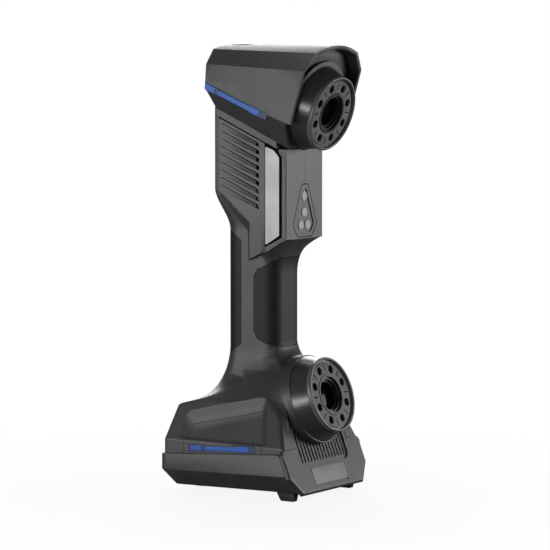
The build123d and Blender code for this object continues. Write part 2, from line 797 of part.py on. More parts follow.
def name_plate():
    """Plain left plate in the panel's recess, a little below the panel's face."""
    with BuildPart() as plate:
        with BuildSketch(Plane.YZ.offset(BODY_HALF - 1.0)):
            with BuildLine():
                Polyline(*PLATE_OUTLINE, close=True)
            make_face()
        extrude(amount=0.7)
    return plate.part


def laser_panel():
    """Kite-shaped plate on the body's front with four round laser windows."""
    with BuildPart() as panel:
        with BuildSketch(across_y(BODY_FRONT)):
            add(kite(-SEAT))
        extrude(amount=-PANEL_DEPTH + SEAT)
        with BuildSketch(across_y(BODY_FRONT)):
            with Locations(*LASER_SPOTS):
                Circle(LASER_RADIUS + SEAT)
        extrude(amount=4, both=True, mode=Mode.SUBTRACT)
    return panel.part


def laser_windows():
    """Four round windows, one group."""
    with BuildPart() as windows:
        with BuildSketch(across_y(BODY_FRONT + 0.2)):
            with Locations(*LASER_SPOTS):
                Circle(LASER_RADIUS)
        extrude(amount=-1.4)
    return windows.part


def laser_modules():
    """Four laser line modules behind the windows."""
    with BuildPart() as modules:
        with BuildSketch(across_y(BODY_FRONT + 2.4)):
            with Locations(*LASER_SPOTS):
                Circle(LASER_RADIUS - 0.2)
        extrude(amount=-12)
    return modules.part


def laser_holder():
    """Block that holds the four laser modules, behind the front wall."""
    with BuildPart() as holder:
        with BuildSketch(across_y(BODY_FRONT + 4.4)):
            with Locations((0, 187.5)):
                Rectangle(20, 27)
            with Locations(*LASER_SPOTS):
                Circle(LASER_RADIUS - 0.1, mode=Mode.SUBTRACT)
        extrude(amount=-7)
    return holder.part


def laser_board():
    """Driver board behind the laser modules."""
    with BuildPart() as board:
        with BuildSketch(across_y(BODY_FRONT + 15.0)):
            with Locations((0, 187.5)):
                RectangleRounded(22, 30, 1.5)
        extrude(amount=-1.6)
        with BuildSketch(across_y(BODY_FRONT + 16.6)):
            with Locations((-4, 194), (5, 182)):
                Rectangle(6, 6)
        extrude(amount=-1.2)
    return board.part


save(side_panel(), "side_panel_left")
save(mirrored(side_panel()), "side_panel_right")
save(name_plate(), "name_plate_left")
save(mirrored(name_plate()), "name_plate_right")
save(laser_panel(), "laser_panel")
save(laser_windows(), "laser_windows")
save(laser_modules(), "laser_modules")
save(laser_holder(), "laser_holder")
save(laser_board(), "laser_board")


# ---- Keypad on the rear --------------------------------------------------------------------------
BEZEL_PROUD = 1.2
BUTTON_PROUD = 1.5            # above the keypad's bezel
BUTTONS = {
    "mode_button": (242.6, 2.6),
    "plus_button": (234.4, 3.0),
    "scan_button": (222.5, 6.2),
    "minus_button": (210.6, 3.0),
}
KEYPAD_BACK = BODY_REAR - 3.6


def keypad_bezel():
    """Raised frame with a guide hole for each button and room for its collar behind."""
    with BuildPart() as bezel:
        with BuildSketch(across_y(BODY_REAR)):
            with Locations((0, KEYPAD_Z)):
                RectangleRounded(2 * KEYPAD_HALF, 2 * KEYPAD_RISE, 5)
        extrude(amount=-BEZEL_PROUD)
        chamfer(bezel.faces().sort_by(Axis.Y)[-1].edges(), 0.5)
        with BuildSketch(across_y(KEYPAD_BACK)):
            with Locations((0, KEYPAD_Z)):
                Rectangle(KEYPAD_OPENING[0] - 2 * SEAT, KEYPAD_OPENING[1] - 2 * SEAT)
        extrude(amount=-3.6)
        for height, radius in BUTTONS.values():
            with BuildSketch(across_y(KEYPAD_BACK)):
                with Locations((0, height)):
                    Circle(radius + RUNNING_GAP)
            extrude(amount=-8, mode=Mode.SUBTRACT)
            with BuildSketch(across_y(KEYPAD_BACK)):
                with Locations((0, height)):
                    Circle(radius + 1.0)
            extrude(amount=-2.8, mode=Mode.SUBTRACT)
    return bezel.part


def button(height, radius):
    """Push button: dished cap, a collar that stops it coming out, and a stem."""
    collar_front = KEYPAD_BACK + 2.7
    cap_front = BODY_REAR + BEZEL_PROUD + BUTTON_PROUD
    with BuildPart() as key:
        with BuildSketch(across_y(collar_front)):
            with Locations((0, height)):
                Circle(radius)
        extrude(amount=collar_front - cap_front)
        chamfer(key.faces().sort_by(Axis.Y)[-1].edges(), 0.5)
        with BuildSketch(across_y(collar_front - 0.9)):
            with Locations((0, height)):
                Circle(radius + 0.65)
        extrude(amount=-0.9)
        with BuildSketch(across_y(collar_front - 3.6)):
            with Locations((0, height)):
                Circle(1.4)
        extrude(amount=-2.8)
    return key.part


def keypad_board():
    """Board with one tact switch behind each button."""
    with BuildPart() as board:
        with BuildSketch(across_y(KEYPAD_BACK - 3.9)):
            with Locations((0, KEYPAD_Z)):
                RectangleRounded(18, 41, 2)
        extrude(amount=-1.6)
        with BuildSketch(across_y(KEYPAD_BACK - 2.35)):
            with Locations(*[(0, height) for height, _ in BUTTONS.values()]):
                Circle(1.8)
        extrude(amount=0.1, both=True)
    return board.part


save(keypad_bezel(), "keypad_bezel")
save(keypad_board(), "keypad_board")
for button_name, (button_height, button_radius) in BUTTONS.items():
    save(button(button_height, button_radius), button_name)


# ---- Inside the upper body: spine, fan, heat sink, main board ----------------------------------------
SPINE_HALF = 6.0
SPINE_FRONT = -1.0
SPINE_REAR = 9.0
FAN_Y = 5.0
FAN_Z = 218.0
FAN_SIZE = 30.0
FAN_X = -17.0                 # outer face; the fan is 8 mm thick and blows along X
FAN_DEPTH = 8.0
FAN_BORE = 13.8
BLADE_COUNT = 7


def camera_bracket(camera, low, high):
    """Plate across the back of one camera, with a web that runs into the spine."""
    with BuildPart() as bracket:
        with BuildSketch(camera.offset(-30.0)):
            RectangleRounded(40, 34, 3)
            with GridLocations(24, 24, 2, 2):
                Circle(1.3, mode=Mode.SUBTRACT)
        extrude(amount=3.0)
        with BuildSketch(Plane.YZ):
            with BuildLine():
                Polyline((-24, low), (-24, high), (SPINE_REAR, high), (SPINE_REAR, low), close=True)
            make_face()
        extrude(amount=SPINE_HALF, both=True)
        with BuildSketch(camera.offset(-27.0)):
            Rectangle(FAR, FAR)
        extrude(amount=30, mode=Mode.SUBTRACT)
    return bracket.part


def spine_frame():
    """Stiff metal spine that fixes the distance and angle between the two cameras."""
    with BuildPart() as spine:
        with BuildSketch(Plane.XY.offset(46)):
            with Locations((0, (SPINE_FRONT + SPINE_REAR) / 2)):
                RectangleRounded(2 * SPINE_HALF, SPINE_REAR - SPINE_FRONT, 1.5)
        extrude(amount=218)
        with BuildSketch(Plane.XZ):
            with Locations(*[(0, z) for z in range(95, 200, 18)]):
                SlotOverall(10, 4, rotation=90)
        extrude(amount=30, both=True, mode=Mode.SUBTRACT)
        add(camera_bracket(UPPER_CAMERA, 250, 264))
        add(camera_bracket(LOWER_CAMERA, 50, 66))
    return spine.part


def camera_screws():
    """Four screws at each camera, through the bracket into the sensor board."""
    with BuildPart() as group:
        for camera in (UPPER_CAMERA, LOWER_CAMERA):
            with BuildSketch(camera.offset(-30.0)):
                with GridLocations(24, 24, 2, 2):
                    Circle(2.2)
            extrude(amount=-1.6)
            with BuildSketch(camera.offset(-30.0)):
                with GridLocations(24, 24, 2, 2):
                    Circle(1.2)
            extrude(amount=7.0)
    return group.part


def fan_frame():
    """Square fan frame with a hub plate on three struts."""
    with BuildPart() as frame:
        with BuildSketch(side_plane(FAN_X)):
            with Locations((FAN_Y, FAN_Z)):
                RectangleRounded(FAN_SIZE, FAN_SIZE, 2)
                Circle(FAN_BORE, mode=Mode.SUBTRACT)
                with GridLocations(24, 24, 2, 2):
                    Circle(1.4, mode=Mode.SUBTRACT)
        extrude(amount=FAN_DEPTH)
        with BuildSketch(side_plane(FAN_X + FAN_DEPTH - 1.2)):
            with Locations((FAN_Y, FAN_Z)):
                Circle(6.0)
                for turn in (0, 60, 120):
                    Rectangle(2 * FAN_BORE + 1, 1.6, rotation=turn)
        extrude(amount=1.2)
    return frame.part


def fan_rotor():
    """Hub with pitched blades, clear of the frame all round."""
    hub = Plane(origin=(FAN_X + 0.8, FAN_Y, FAN_Z), x_dir=(0, 1, 0), z_dir=(1, 0, 0))
    with BuildPart() as rotor:
        with BuildSketch(hub):
            Circle(5.6)
        extrude(amount=5.6)
        for blade in range(BLADE_COUNT):
            turn = radians(360 * blade / BLADE_COUNT)
            outward = Vector(0, cos(turn), sin(turn))
            root = hub.origin + outward * 4.5 + Vector(2.8, 0, 0)
            with BuildSketch(Plane(origin=root, x_dir=(0, -sin(turn), cos(turn)), z_dir=outward)):
                Rectangle(6.2, 0.8, rotation=38)
            extrude(amount=8.6)
    return rotor.part


def heat_sink():
    """Finned block on the main board, opposite the fan."""
    with BuildPart() as sink:
        with BuildSketch(side_plane(8.2)):
            with Locations((FAN_Y, FAN_Z)):
                Rectangle(FAN_SIZE, FAN_SIZE)
        extrude(amount=2.0)
        with BuildSketch(side_plane(10.2)):
            with Locations((FAN_Y, FAN_Z)):
                with GridLocations(4.1, 1, 8, 1):
                    Rectangle(1.2, FAN_SIZE)
        extrude(amount=6.8)
    return sink.part


def main_board():
    """Main board, upright on the left of the spine."""
    with BuildPart() as board:
        with BuildSketch(side_plane(6.6)):
            with Locations((4.5, 209)):
                RectangleRounded(30, 46, 2)
        extrude(amount=1.6)
        with BuildSketch(side_plane(8.2)):
            with Locations((-4, 193), (8, 192)):
                Rectangle(9, 8)
        extrude(amount=2.5)
    return board.part


save(spine_frame(), "spine_frame")
save(camera_screws(), "camera_screws")
save(fan_frame(), "fan_frame")
save(fan_rotor(), "fan_rotor")
save(heat_sink(), "heat_sink")
save(main_board(), "main_board")


# ---- Base: flank panels, light strips, front panel, skirt, bottom, feet, socket ------------------------
def flank_panel():
    """Left flank panel: a shallow dish whose sloping rim meets the flank."""
    with BuildPart() as cup:
        with BuildSketch(FLANK.offset(0.05)) as rim:
            with BuildLine():
                Polyline(*RECESS_RIM, close=True)
            make_face()
            offset(amount=-0.7)
        with BuildSketch(FLANK.offset(-RECESS_DEPTH)) as floor:
            with BuildLine():
                Polyline(*RECESS_FLOOR, close=True)
            make_face()
        loft(sections=[rim.sketch, floor.sketch], ruled=True)
    with BuildPart() as dish:
        with BuildSketch(FLANK):
            with BuildLine():
                Polyline(*RECESS_RIM, close=True)
            make_face()
            offset(amount=-SEAT)
        extrude(amount=-RECESS_DEPTH - 1.8)
        add(cup.part, mode=Mode.SUBTRACT)
    return dish.part


def base_strips():
    """Both blue light strips of the base: deep end blocks and a lower middle bar."""
    with BuildPart() as strips:
        add(base_strip_blank(0))
        with BuildSketch(BASE_STRIP_PLANE):
            with Locations((3, BASE_STRIP_HEIGHT / 2)):
                Rectangle(BASE_STRIP_LENGTH - 24, 1.2)
        extrude(amount=BASE_HALF + 5, both=True, mode=Mode.SUBTRACT)
        with BuildSketch(side_plane(BASE_HALF)):
            with Locations((BASE_STRIP_Y, BASE_STRIP_Z)):
                Rectangle(80, 20)
        extrude(amount=5, mode=Mode.SUBTRACT)
        with BuildSketch(side_plane(-BASE_HALF)):
            with Locations((BASE_STRIP_Y, BASE_STRIP_Z)):
                Rectangle(80, 20)
        extrude(amount=-5, mode=Mode.SUBTRACT)
    return strips.part


FRONT_THICKNESS = FRONT_PANEL_DEPTH * cos(front_angle)
FRONT_BACK = FRONT_FACE.offset(-FRONT_THICKNESS)
SKIRT_BOTTOM = sloped_plane(0, 4.9, -0.0174)
SKIRT_EDGE = sloped_plane(0, 16.3, -0.0243)
SKIRT_TOP = sloped_plane(0, 29.3, -0.066)
SKIRT_LOW_HALF = 36.9
SKIRT_LOW_REAR = 51.7
GRILLE_UP = 31.0              # up the front face to the grille's middle
GRILLE_FRAME = (56.6, 26.0)
GRILLE_SLOTS = 15
GRILLE_PITCH = 3.6
GRILLE_SLOT = (21.0, 1.6)
FRONT_PLATE_UP = 9.8
FRONT_PLATE = (39.6, 11.2)


def front_panel():
    """Sloping front of the base, with a slotted grille and a recess for a plate."""
    with BuildPart() as panel:
        with BuildSketch(FRONT_FACE):
            with BuildLine():
                Polyline((-SKIRT_LOW_HALF, 0), (SKIRT_LOW_HALF, 0), (47.3, 12.6), (47.3, 28.2),
                         (44.4, 31.3), (31.5, 64.8), (-31.5, 64.8), (-44.4, 31.3),
                         (-47.3, 28.2), (-47.3, 12.6), close=True)
            make_face()
        extrude(amount=-FRONT_THICKNESS)
        with BuildSketch(LOWER_CAMERA.offset(-10)):
            Circle(BOSS_RADIUS + SEAT)
        extrude(amount=-30, mode=Mode.SUBTRACT)
        with BuildSketch(FRONT_FACE):
            with Locations((0, GRILLE_UP)):
                RectangleRounded(*GRILLE_FRAME, 5)
        extrude(amount=-1.2, mode=Mode.SUBTRACT)
        with BuildSketch(FRONT_FACE):
            with Locations((0, GRILLE_UP)):
                with GridLocations(GRILLE_PITCH, 1, GRILLE_SLOTS, 1):
                    SlotOverall(*GRILLE_SLOT, rotation=90)
        extrude(amount=-8, mode=Mode.SUBTRACT)
        with BuildSketch(FRONT_FACE):
            with Locations((0, FRONT_PLATE_UP)):
                Rectangle(FRONT_PLATE[0] + 0.6, FRONT_PLATE[1] + 0.6)
        extrude(amount=-0.8, mode=Mode.SUBTRACT)
    return panel.part


def front_plate():
    """Plain plate in the front panel's recess."""
    with BuildPart() as plate:
        with BuildSketch(FRONT_FACE.offset(-0.8)):
            with Locations((0, FRONT_PLATE_UP)):
                Rectangle(*FRONT_PLATE)
        extrude(amount=0.7)
    return plate.part


def skirt_section(plane, half, rear, corner):
    """Section of the skirt on a slightly sloped plane, running out past the front."""
    front = -70.0
    with BuildSketch(plane) as section:
        with Locations((0, (front + rear) / 2)):
            RectangleRounded(2 * half, rear - front, corner)
    return section.sketch


def skirt():
    """Proud bumper round the sides and rear of the base, chamfered underneath."""
    with BuildPart() as inside:
        loft(sections=[skirt_section(SKIRT_BOTTOM.offset(-1), 33.5, 48.4, 2.0),
                       skirt_section(SKIRT_EDGE, BASE_HALF + 0.15, BASE_REAR + 0.15, 2.0),
                       skirt_section(SKIRT_TOP.offset(1), BASE_HALF + 0.15, BASE_REAR + 0.15, 2.0)],
             ruled=True)
    with BuildPart() as band:
        loft(sections=[skirt_section(SKIRT_BOTTOM, SKIRT_LOW_HALF, SKIRT_LOW_REAR, 4.0),
                       skirt_section(SKIRT_EDGE, SKIRT_HALF, SKIRT_REAR, 7.0),
                       skirt_section(SKIRT_TOP, SKIRT_HALF, SKIRT_REAR, 7.0)], ruled=True)
        add(inside.part, mode=Mode.SUBTRACT)
        split(bisect_by=FRONT_BACK.offset(-SEAT), keep=Keep.BOTTOM)
    return band.part


def bottom_cover():
    """Plate that closes the base from below, with counterbored screw holes."""
    with BuildPart() as cover:
        with BuildSketch(SKIRT_BOTTOM):
            with Locations((0, 2.0)):
                RectangleRounded(66, 92, 2)
            with Locations((0, 2.0)):
                with GridLocations(54, 78, 2, 2):
                    Circle(1.7, mode=Mode.SUBTRACT)
        extrude(amount=2.2)
    return cover.part


def bottom_screws():
    """Four screws through the bottom cover."""
    with BuildPart() as group:
        with BuildSketch(SKIRT_BOTTOM):
            with Locations((0, 2.0)):
                with GridLocations(54, 78, 2, 2):
                    Circle(2.8)
        extrude(amount=-1.0)
        with BuildSketch(SKIRT_BOTTOM):
            with Locations((0, 2.0)):
                with GridLocations(54, 78, 2, 2):
                    Circle(1.5)
        extrude(amount=9.0)
    return group.part


def bottom_height(y):
    """Height of the underside at this Y."""
    return 4.9 - 0.0174 * y


def front_feet():
    """Two tapered feet under the front corners."""
    with BuildPart() as feet:
        with BuildSketch(side_plane(31.9)):
            with BuildLine():
                Polyline((-44.5, bottom_height(-44.5)), (-43.2, 0), (-33.4, 0),
                         (-30.2, bottom_height(-30.2)), close=True)
            make_face()
        extrude(amount=5.2)
        mirror(about=Plane.YZ)
    return feet.part


def rear_foot():
    """One wide foot under the middle of the rear edge."""
    with BuildPart() as foot:
        with BuildSketch(side_plane(0)):
            with BuildLine():
                Polyline((41.6, bottom_height(41.6)), (43.0, 0), (50.4, 0),
                         (51.2, bottom_height(51.2)), close=True)
            make_face()
        extrude(amount=15, both=True)
    return foot.part


def cable_socket():
    """Round socket in the base's rear, with a blind bore that takes the cable's plug."""
    with BuildPart() as socket:
        with BuildSketch(across_y(44.0)):
            with Locations((0, SOCKET_Z)):
                Circle(SOCKET_RADIUS)
        extrude(amount=-11.2)
        chamfer(socket.faces().sort_by(Axis.Y)[-1].edges(), 0.6)
        with BuildSketch(across_y(46.0)):
            with Locations((0, SOCKET_Z)):
                Circle(5.5)
        extrude(amount=-12, mode=Mode.SUBTRACT)
    return socket.part


def base_board():
    """Power and interface board, flat in the base."""
    with BuildPart() as board:
        with BuildSketch(Plane.XY.offset(13.0)):
            with Locations((0, 6)):
                RectangleRounded(60, 62, 3)
        extrude(amount=1.6)
        with BuildSketch(Plane.XY.offset(14.6)):
            with Locations((-14, -2), (12, 18)):
                Rectangle(12, 12)
            with Locations((14, -8)):
                Rectangle(16, 9)
        extrude(amount=2.2)
    return board.part


def housing_screws():
    """Long screws that hold the two housing halves together."""
    with BuildPart() as group:
        add(posts(SCREW_RADIUS, -8.6, SCREW_HEAD_X))
        add(posts(SCREW_HEAD_RADIUS, SCREW_HEAD_X, SCREW_HEAD_X + 2.2))
    return group.part


save(flank_panel(), "flank_panel_left")
save(mirrored(flank_panel()), "flank_panel_right")
BASE_STRIPS = base_strips()
save(half_of(BASE_STRIPS, 1), "base_light_strip_left")
save(half_of(BASE_STRIPS, -1), "base_light_strip_right")
save(front_panel(), "front_panel")
save(front_plate(), "front_plate")
save(skirt(), "base_skirt")
save(bottom_cover(), "bottom_cover")
save(bottom_screws(), "bottom_screws")
save(front_feet(), "front_feet")
save(rear_foot(), "rear_foot")
save(cable_socket(), "cable_socket")
save(base_board(), "base_board")
save(housing_screws(), "housing_screws")
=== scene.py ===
import json
import math

import bmesh
import bpy
import numpy as np
from mathutils import Matrix, Vector


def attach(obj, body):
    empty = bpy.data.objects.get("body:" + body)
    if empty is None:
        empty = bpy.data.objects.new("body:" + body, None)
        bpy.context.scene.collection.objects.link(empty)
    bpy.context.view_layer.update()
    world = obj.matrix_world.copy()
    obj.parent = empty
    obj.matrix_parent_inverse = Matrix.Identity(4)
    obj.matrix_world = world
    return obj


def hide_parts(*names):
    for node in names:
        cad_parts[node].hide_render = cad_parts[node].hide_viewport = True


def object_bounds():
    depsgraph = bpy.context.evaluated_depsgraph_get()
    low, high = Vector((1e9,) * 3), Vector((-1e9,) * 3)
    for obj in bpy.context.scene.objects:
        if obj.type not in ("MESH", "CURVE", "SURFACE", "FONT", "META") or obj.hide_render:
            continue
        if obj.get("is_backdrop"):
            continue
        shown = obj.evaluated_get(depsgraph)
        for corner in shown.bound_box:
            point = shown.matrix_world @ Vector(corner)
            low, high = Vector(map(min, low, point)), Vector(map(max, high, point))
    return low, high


# The looks of a hand-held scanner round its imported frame. Places in the sections on shape are in
# millimetres, as in the model's source, and turn into metres where a mesh is made.
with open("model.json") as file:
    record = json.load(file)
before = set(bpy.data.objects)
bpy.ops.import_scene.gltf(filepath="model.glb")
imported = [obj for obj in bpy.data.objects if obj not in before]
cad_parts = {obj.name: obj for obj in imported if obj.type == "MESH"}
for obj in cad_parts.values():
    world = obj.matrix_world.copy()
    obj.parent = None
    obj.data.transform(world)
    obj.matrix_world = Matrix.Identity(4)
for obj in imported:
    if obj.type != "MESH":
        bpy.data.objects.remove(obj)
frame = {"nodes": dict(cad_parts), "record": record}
CAD_LOW, CAD_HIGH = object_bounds()
NODES = frame["nodes"]
MM = 0.001
for imported in list(bpy.data.materials):
    bpy.data.materials.remove(imported)


# ---- Camera ---------------------------------------------------------------------------------
CAMERA_AZIMUTH = math.radians(-56.53)
CAMERA_ELEVATION = math.radians(4.86)
CAMERA_DISTANCE = 1.945
CAMERA_TARGET = Vector((0.0, -0.00466, 0.14383))
SENSOR_WIDTH = 36.0
LENS = 191.8


def make_camera():
    data = bpy.data.cameras.new("camera")
    data.sensor_width = SENSOR_WIDTH
    data.lens = LENS
    data.clip_start = 0.05
    data.clip_end = 50.0
    camera = bpy.data.objects.new("camera", data)
    bpy.context.scene.collection.objects.link(camera)
    level = math.cos(CAMERA_ELEVATION)
    back = Vector((math.sin(CAMERA_AZIMUTH) * level, -math.cos(CAMERA_AZIMUTH) * level,
                   math.sin(CAMERA_ELEVATION)))
    camera.location = CAMERA_TARGET + back * CAMERA_DISTANCE
    camera.rotation_mode = "QUATERNION"
    camera.rotation_quaternion = (-back).to_track_quat("-Z", "Y")
    bpy.context.scene.camera = camera


make_camera()


# ---- Stage and light --------------------------------------------------------------------------
def area_light(name, place, aim, width, height, power):
    """Softbox at a place, turned to its aim: metres and watts."""
    data = bpy.data.lights.new(name, "AREA")
    data.shape = "RECTANGLE"
    data.size = width
    data.size_y = height
    data.energy = power
    light = bpy.data.objects.new(name, data)
    bpy.context.scene.collection.objects.link(light)
    light.location = place
    light.rotation_mode = "QUATERNION"
    light.rotation_quaternion = (Vector(aim) - Vector(place)).to_track_quat("-Z", "Y")
    light.visible_camera = False


EVEN_LIGHT = 0.07             # strength of the light that comes from all round


def make_world():
    """Dim even light, behind a white that only the camera sees."""
    world = bpy.data.worlds.new("world")
    bpy.context.scene.world = world
    world.use_nodes = True
    nodes, links = world.node_tree.nodes, world.node_tree.links
    background = nodes["Background"]
    background.inputs["Color"].default_value = (1.0, 1.0, 1.0, 1.0)
    background.inputs["Strength"].default_value = EVEN_LIGHT
    backdrop = nodes.new("ShaderNodeBackground")
    backdrop.inputs["Color"].default_value = (1.0, 1.0, 1.0, 1.0)
    backdrop.inputs["Strength"].default_value = 1.0
    ray = nodes.new("ShaderNodeLightPath")
    mix = nodes.new("ShaderNodeMixShader")
    links.new(ray.outputs["Is Camera Ray"], mix.inputs["Fac"])
    links.new(background.outputs["Background"], mix.inputs[1])
    links.new(backdrop.outputs["Background"], mix.inputs[2])
    links.new(mix.outputs["Shader"], nodes["World Output"].inputs["Surface"])


FLOOR_FADE = (0.10, 0.34)     # distances from the middle between which the floor fades to white
FLOOR_WHITE = 0.9             # share of white at the middle
FLOOR_HALF = 6.0


def floor_material():
    """Pale floor that fades to the backdrop's white, and throws little light back up."""
    material = bpy.data.materials.new("floor")
    material.use_nodes = True
    nodes, links = material.node_tree.nodes, material.node_tree.links
    lit = nodes["Principled BSDF"]
    lit.inputs["Base Color"].default_value = (0.92, 0.92, 0.92, 1.0)
    lit.inputs["Roughness"].default_value = 0.8
    white = nodes.new("ShaderNodeEmission")
    dim = nodes.new("ShaderNodeBsdfDiffuse")
    dim.inputs["Color"].default_value = (0.12, 0.12, 0.12, 1.0)
    place = nodes.new("ShaderNodeTexCoord")
    reach = nodes.new("ShaderNodeVectorMath")
    reach.operation = "LENGTH"
    fade = nodes.new("ShaderNodeMapRange")
    fade.inputs["From Min"].default_value = FLOOR_FADE[0]
    fade.inputs["From Max"].default_value = FLOOR_FADE[1]
    fade.inputs["To Min"].default_value = FLOOR_WHITE
    links.new(place.outputs["Object"], reach.inputs[0])
    links.new(reach.outputs["Value"], fade.inputs["Value"])
    seen = nodes.new("ShaderNodeMixShader")
    links.new(fade.outputs["Result"], seen.inputs["Fac"])
    links.new(lit.outputs["BSDF"], seen.inputs[1])
    links.new(white.outputs["Emission"], seen.inputs[2])
    ray = nodes.new("ShaderNodeLightPath")
    mix = nodes.new("ShaderNodeMixShader")
    links.new(ray.outputs["Is Camera Ray"], mix.inputs["Fac"])
    links.new(dim.outputs["BSDF"], mix.inputs[1])
    links.new(seen.outputs["Shader"], mix.inputs[2])
    links.new(mix.outputs["Shader"], nodes["Material Output"].inputs["Surface"])
    return material


def make_floor():
    mesh = bpy.data.meshes.new("floor")
    far = FLOOR_HALF
    mesh.from_pydata([(-far, -far, 0), (far, -far, 0), (far, far, 0), (-far, far, 0)], [], [(0, 1, 2, 3)])
    floor = bpy.data.objects.new("floor", mesh)
    bpy.context.scene.collection.objects.link(floor)
    mesh.materials.append(floor_material())
    floor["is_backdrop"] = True


bpy.context.scene.view_settings.view_transform = "Standard"
make_world()
make_floor()
area_light("side_softbox", (-1.6, 0.45, 0.16), (0, 0, 0.15), 2.4, 0.45, 24.0)
area_light("front_softbox", (1.0, -1.35, 0.22), (0, 0, 0.15), 1.2, 0.6, 20.0)
area_light("back_softbox", (1.5, 1.15, 0.8), (0, 0, 0.25), 1.8, 0.9, 27.0)
area_light("top_softbox", (0.45, 0.35, 1.5), (0, 0, 0.2), 0.7, 0.7, 8.0)


# ---- Materials ----------------------------------------------------------------------------------
TONE_SCALE = 60.0             # of the slow change of tone, in patches to the metre


def grained(name, dark, light, rough_low, rough_high, grain_scale, grain_height,
            metallic=0.0, specular=0.5):
    """Surface with a slow change of tone, and a fine raised grain that its gloss follows."""
    material = bpy.data.materials.new(name)
    material.use_nodes = True
    shader = material.node_tree.nodes["Principled BSDF"]
    shader.inputs["Metallic"].default_value = metallic
    shader.inputs["Specular IOR Level"].default_value = specular
    nodes, links = material.node_tree.nodes, material.node_tree.links
    place = nodes.new("ShaderNodeTexCoord")
    slow = nodes.new("ShaderNodeTexNoise")
    slow.inputs["Scale"].default_value = TONE_SCALE
    slow.inputs["Detail"].default_value = 3.0
    fine = nodes.new("ShaderNodeTexNoise")
    fine.inputs["Scale"].default_value = grain_scale
    fine.inputs["Detail"].default_value = 2.0
    for texture in (slow, fine):
        links.new(place.outputs["Object"], texture.inputs["Vector"])
    tone = nodes.new("ShaderNodeValToRGB")
    tone.color_ramp.elements[0].position = 0.3
    tone.color_ramp.elements[0].color = (*dark, 1.0)
    tone.color_ramp.elements[1].position = 0.7
    tone.color_ramp.elements[1].color = (*light, 1.0)
    links.new(slow.outputs["Fac"], tone.inputs["Fac"])
    links.new(tone.outputs["Color"], shader.inputs["Base Color"])
    gloss = nodes.new("ShaderNodeMapRange")
    gloss.inputs["To Min"].default_value = rough_low
    gloss.inputs["To Max"].default_value = rough_high
    links.new(fine.outputs["Fac"], gloss.inputs["Value"])
    links.new(gloss.outputs["Result"], shader.inputs["Roughness"])
    bump = nodes.new("ShaderNodeBump")
    bump.inputs["Strength"].default_value = 0.5
    bump.inputs["Distance"].default_value = grain_height
    links.new(fine.outputs["Fac"], bump.inputs["Height"])
    links.new(bump.outputs["Normal"], shader.inputs["Normal"])
    return material


SHELL = grained("shell_plastic", (0.040, 0.0405, 0.0415), (0.050, 0.0505, 0.0515),
                0.36, 0.50, 3500, 0.00006)
PANEL = grained("panel_plastic", (0.060, 0.0605, 0.0615), (0.073, 0.0735, 0.0745),
                0.36, 0.50, 3500, 0.00006)
BARREL = grained("barrel_plastic", (0.034, 0.034, 0.0345), (0.046, 0.046, 0.0465),
                 0.20, 0.32, 4500, 0.00004, specular=1.0)
DARK_BLUE = grained("dark_blue", (0.006, 0.020, 0.085), (0.009, 0.028, 0.115), 0.4, 0.5, 3000, 0.00003)
LED_PLATE = grained("led_plate", (0.11, 0.11, 0.112), (0.16, 0.16, 0.162), 0.55, 0.72, 3800, 0.00010)
FRONT_SILVER = grained("front_silver", (0.22, 0.22, 0.225), (0.28, 0.28, 0.285),
                       0.45, 0.60, 7000, 0.00005)
# near-black and barely glossy: painted shade in the channel round the name plate
PAINTED_SHADE_BLACK = grained("painted_shade_black", (0.002, 0.002, 0.002), (0.004, 0.004, 0.004),
               0.8, 0.9, 3000, 0.00004, specular=0.08)
BEZEL = grained("bezel_metal", (0.105, 0.105, 0.107), (0.135, 0.135, 0.138),
                0.34, 0.46, 5000, 0.00003, metallic=0.2)
# lens tubes' black; on the head bulkhead it is also painted shade inside the hood
TUBE_BLACK_AND_HOOD_SHADE = grained("lens_tube_black", (0.010, 0.010, 0.0105), (0.015, 0.015, 0.0155),
               0.38, 0.52, 5000, 0.00003)
RUBBER = grained("grip_rubber", (0.009, 0.009, 0.009), (0.013, 0.013, 0.013),
                 0.45, 0.62, 2600, 0.00010, specular=0.3)
BUTTON = grained("button_rubber", (0.026, 0.026, 0.027), (0.036, 0.036, 0.037), 0.5, 0.7, 2600, 0.00006)
BLUE = grained("light_blue", (0.024, 0.105, 0.42), (0.034, 0.135, 0.52),
               0.35, 0.45, 3000, 0.00003, specular=0.3)
SILVER = grained("plate_silver", (0.26, 0.26, 0.265), (0.33, 0.33, 0.335),
                 0.34, 0.50, 7000, 0.00005, metallic=0.5)
WINDOW = grained("window_grey", (0.38, 0.38, 0.385), (0.44, 0.44, 0.445), 0.40, 0.50, 3000, 0.00002)
BOARD = grained("board_green", (0.004, 0.012, 0.007), (0.006, 0.018, 0.010), 0.35, 0.5, 2500, 0.00004)
ALUMINIUM = grained("frame_aluminium", (0.30, 0.30, 0.31), (0.38, 0.38, 0.39),
                    0.3, 0.45, 4000, 0.00004, metallic=1.0)
BRASS = grained("module_brass", (0.42, 0.30, 0.13), (0.52, 0.38, 0.17),
                0.28, 0.4, 4000, 0.00003, metallic=1.0)
STEEL = grained("screw_steel", (0.20, 0.20, 0.21), (0.28, 0.28, 0.29),
                0.25, 0.4, 5000, 0.00003, metallic=1.0)
SOCKET = grained("socket_steel", (0.20, 0.20, 0.21), (0.27, 0.27, 0.28),
                 0.25, 0.4, 5000, 0.00003, metallic=1.0)
FAN = grained("fan_plastic", (0.012, 0.012, 0.0125), (0.018, 0.018, 0.0185), 0.35, 0.5, 4000, 0.00004)
GLASS = grained("lens_glass", (0.0015, 0.0016, 0.0030), (0.0030, 0.0030, 0.0050),
                0.05, 0.09, 900, 0.000001, specular=0.05)

# the finish of each material slot in the record
FINISH = {material.name: material for material in (
    SHELL, BARREL, BEZEL, TUBE_BLACK_AND_HOOD_SHADE, RUBBER, BUTTON, BLUE, SILVER, WINDOW, BOARD, ALUMINIUM, BRASS, STEEL,
    SOCKET, FAN, GLASS)}


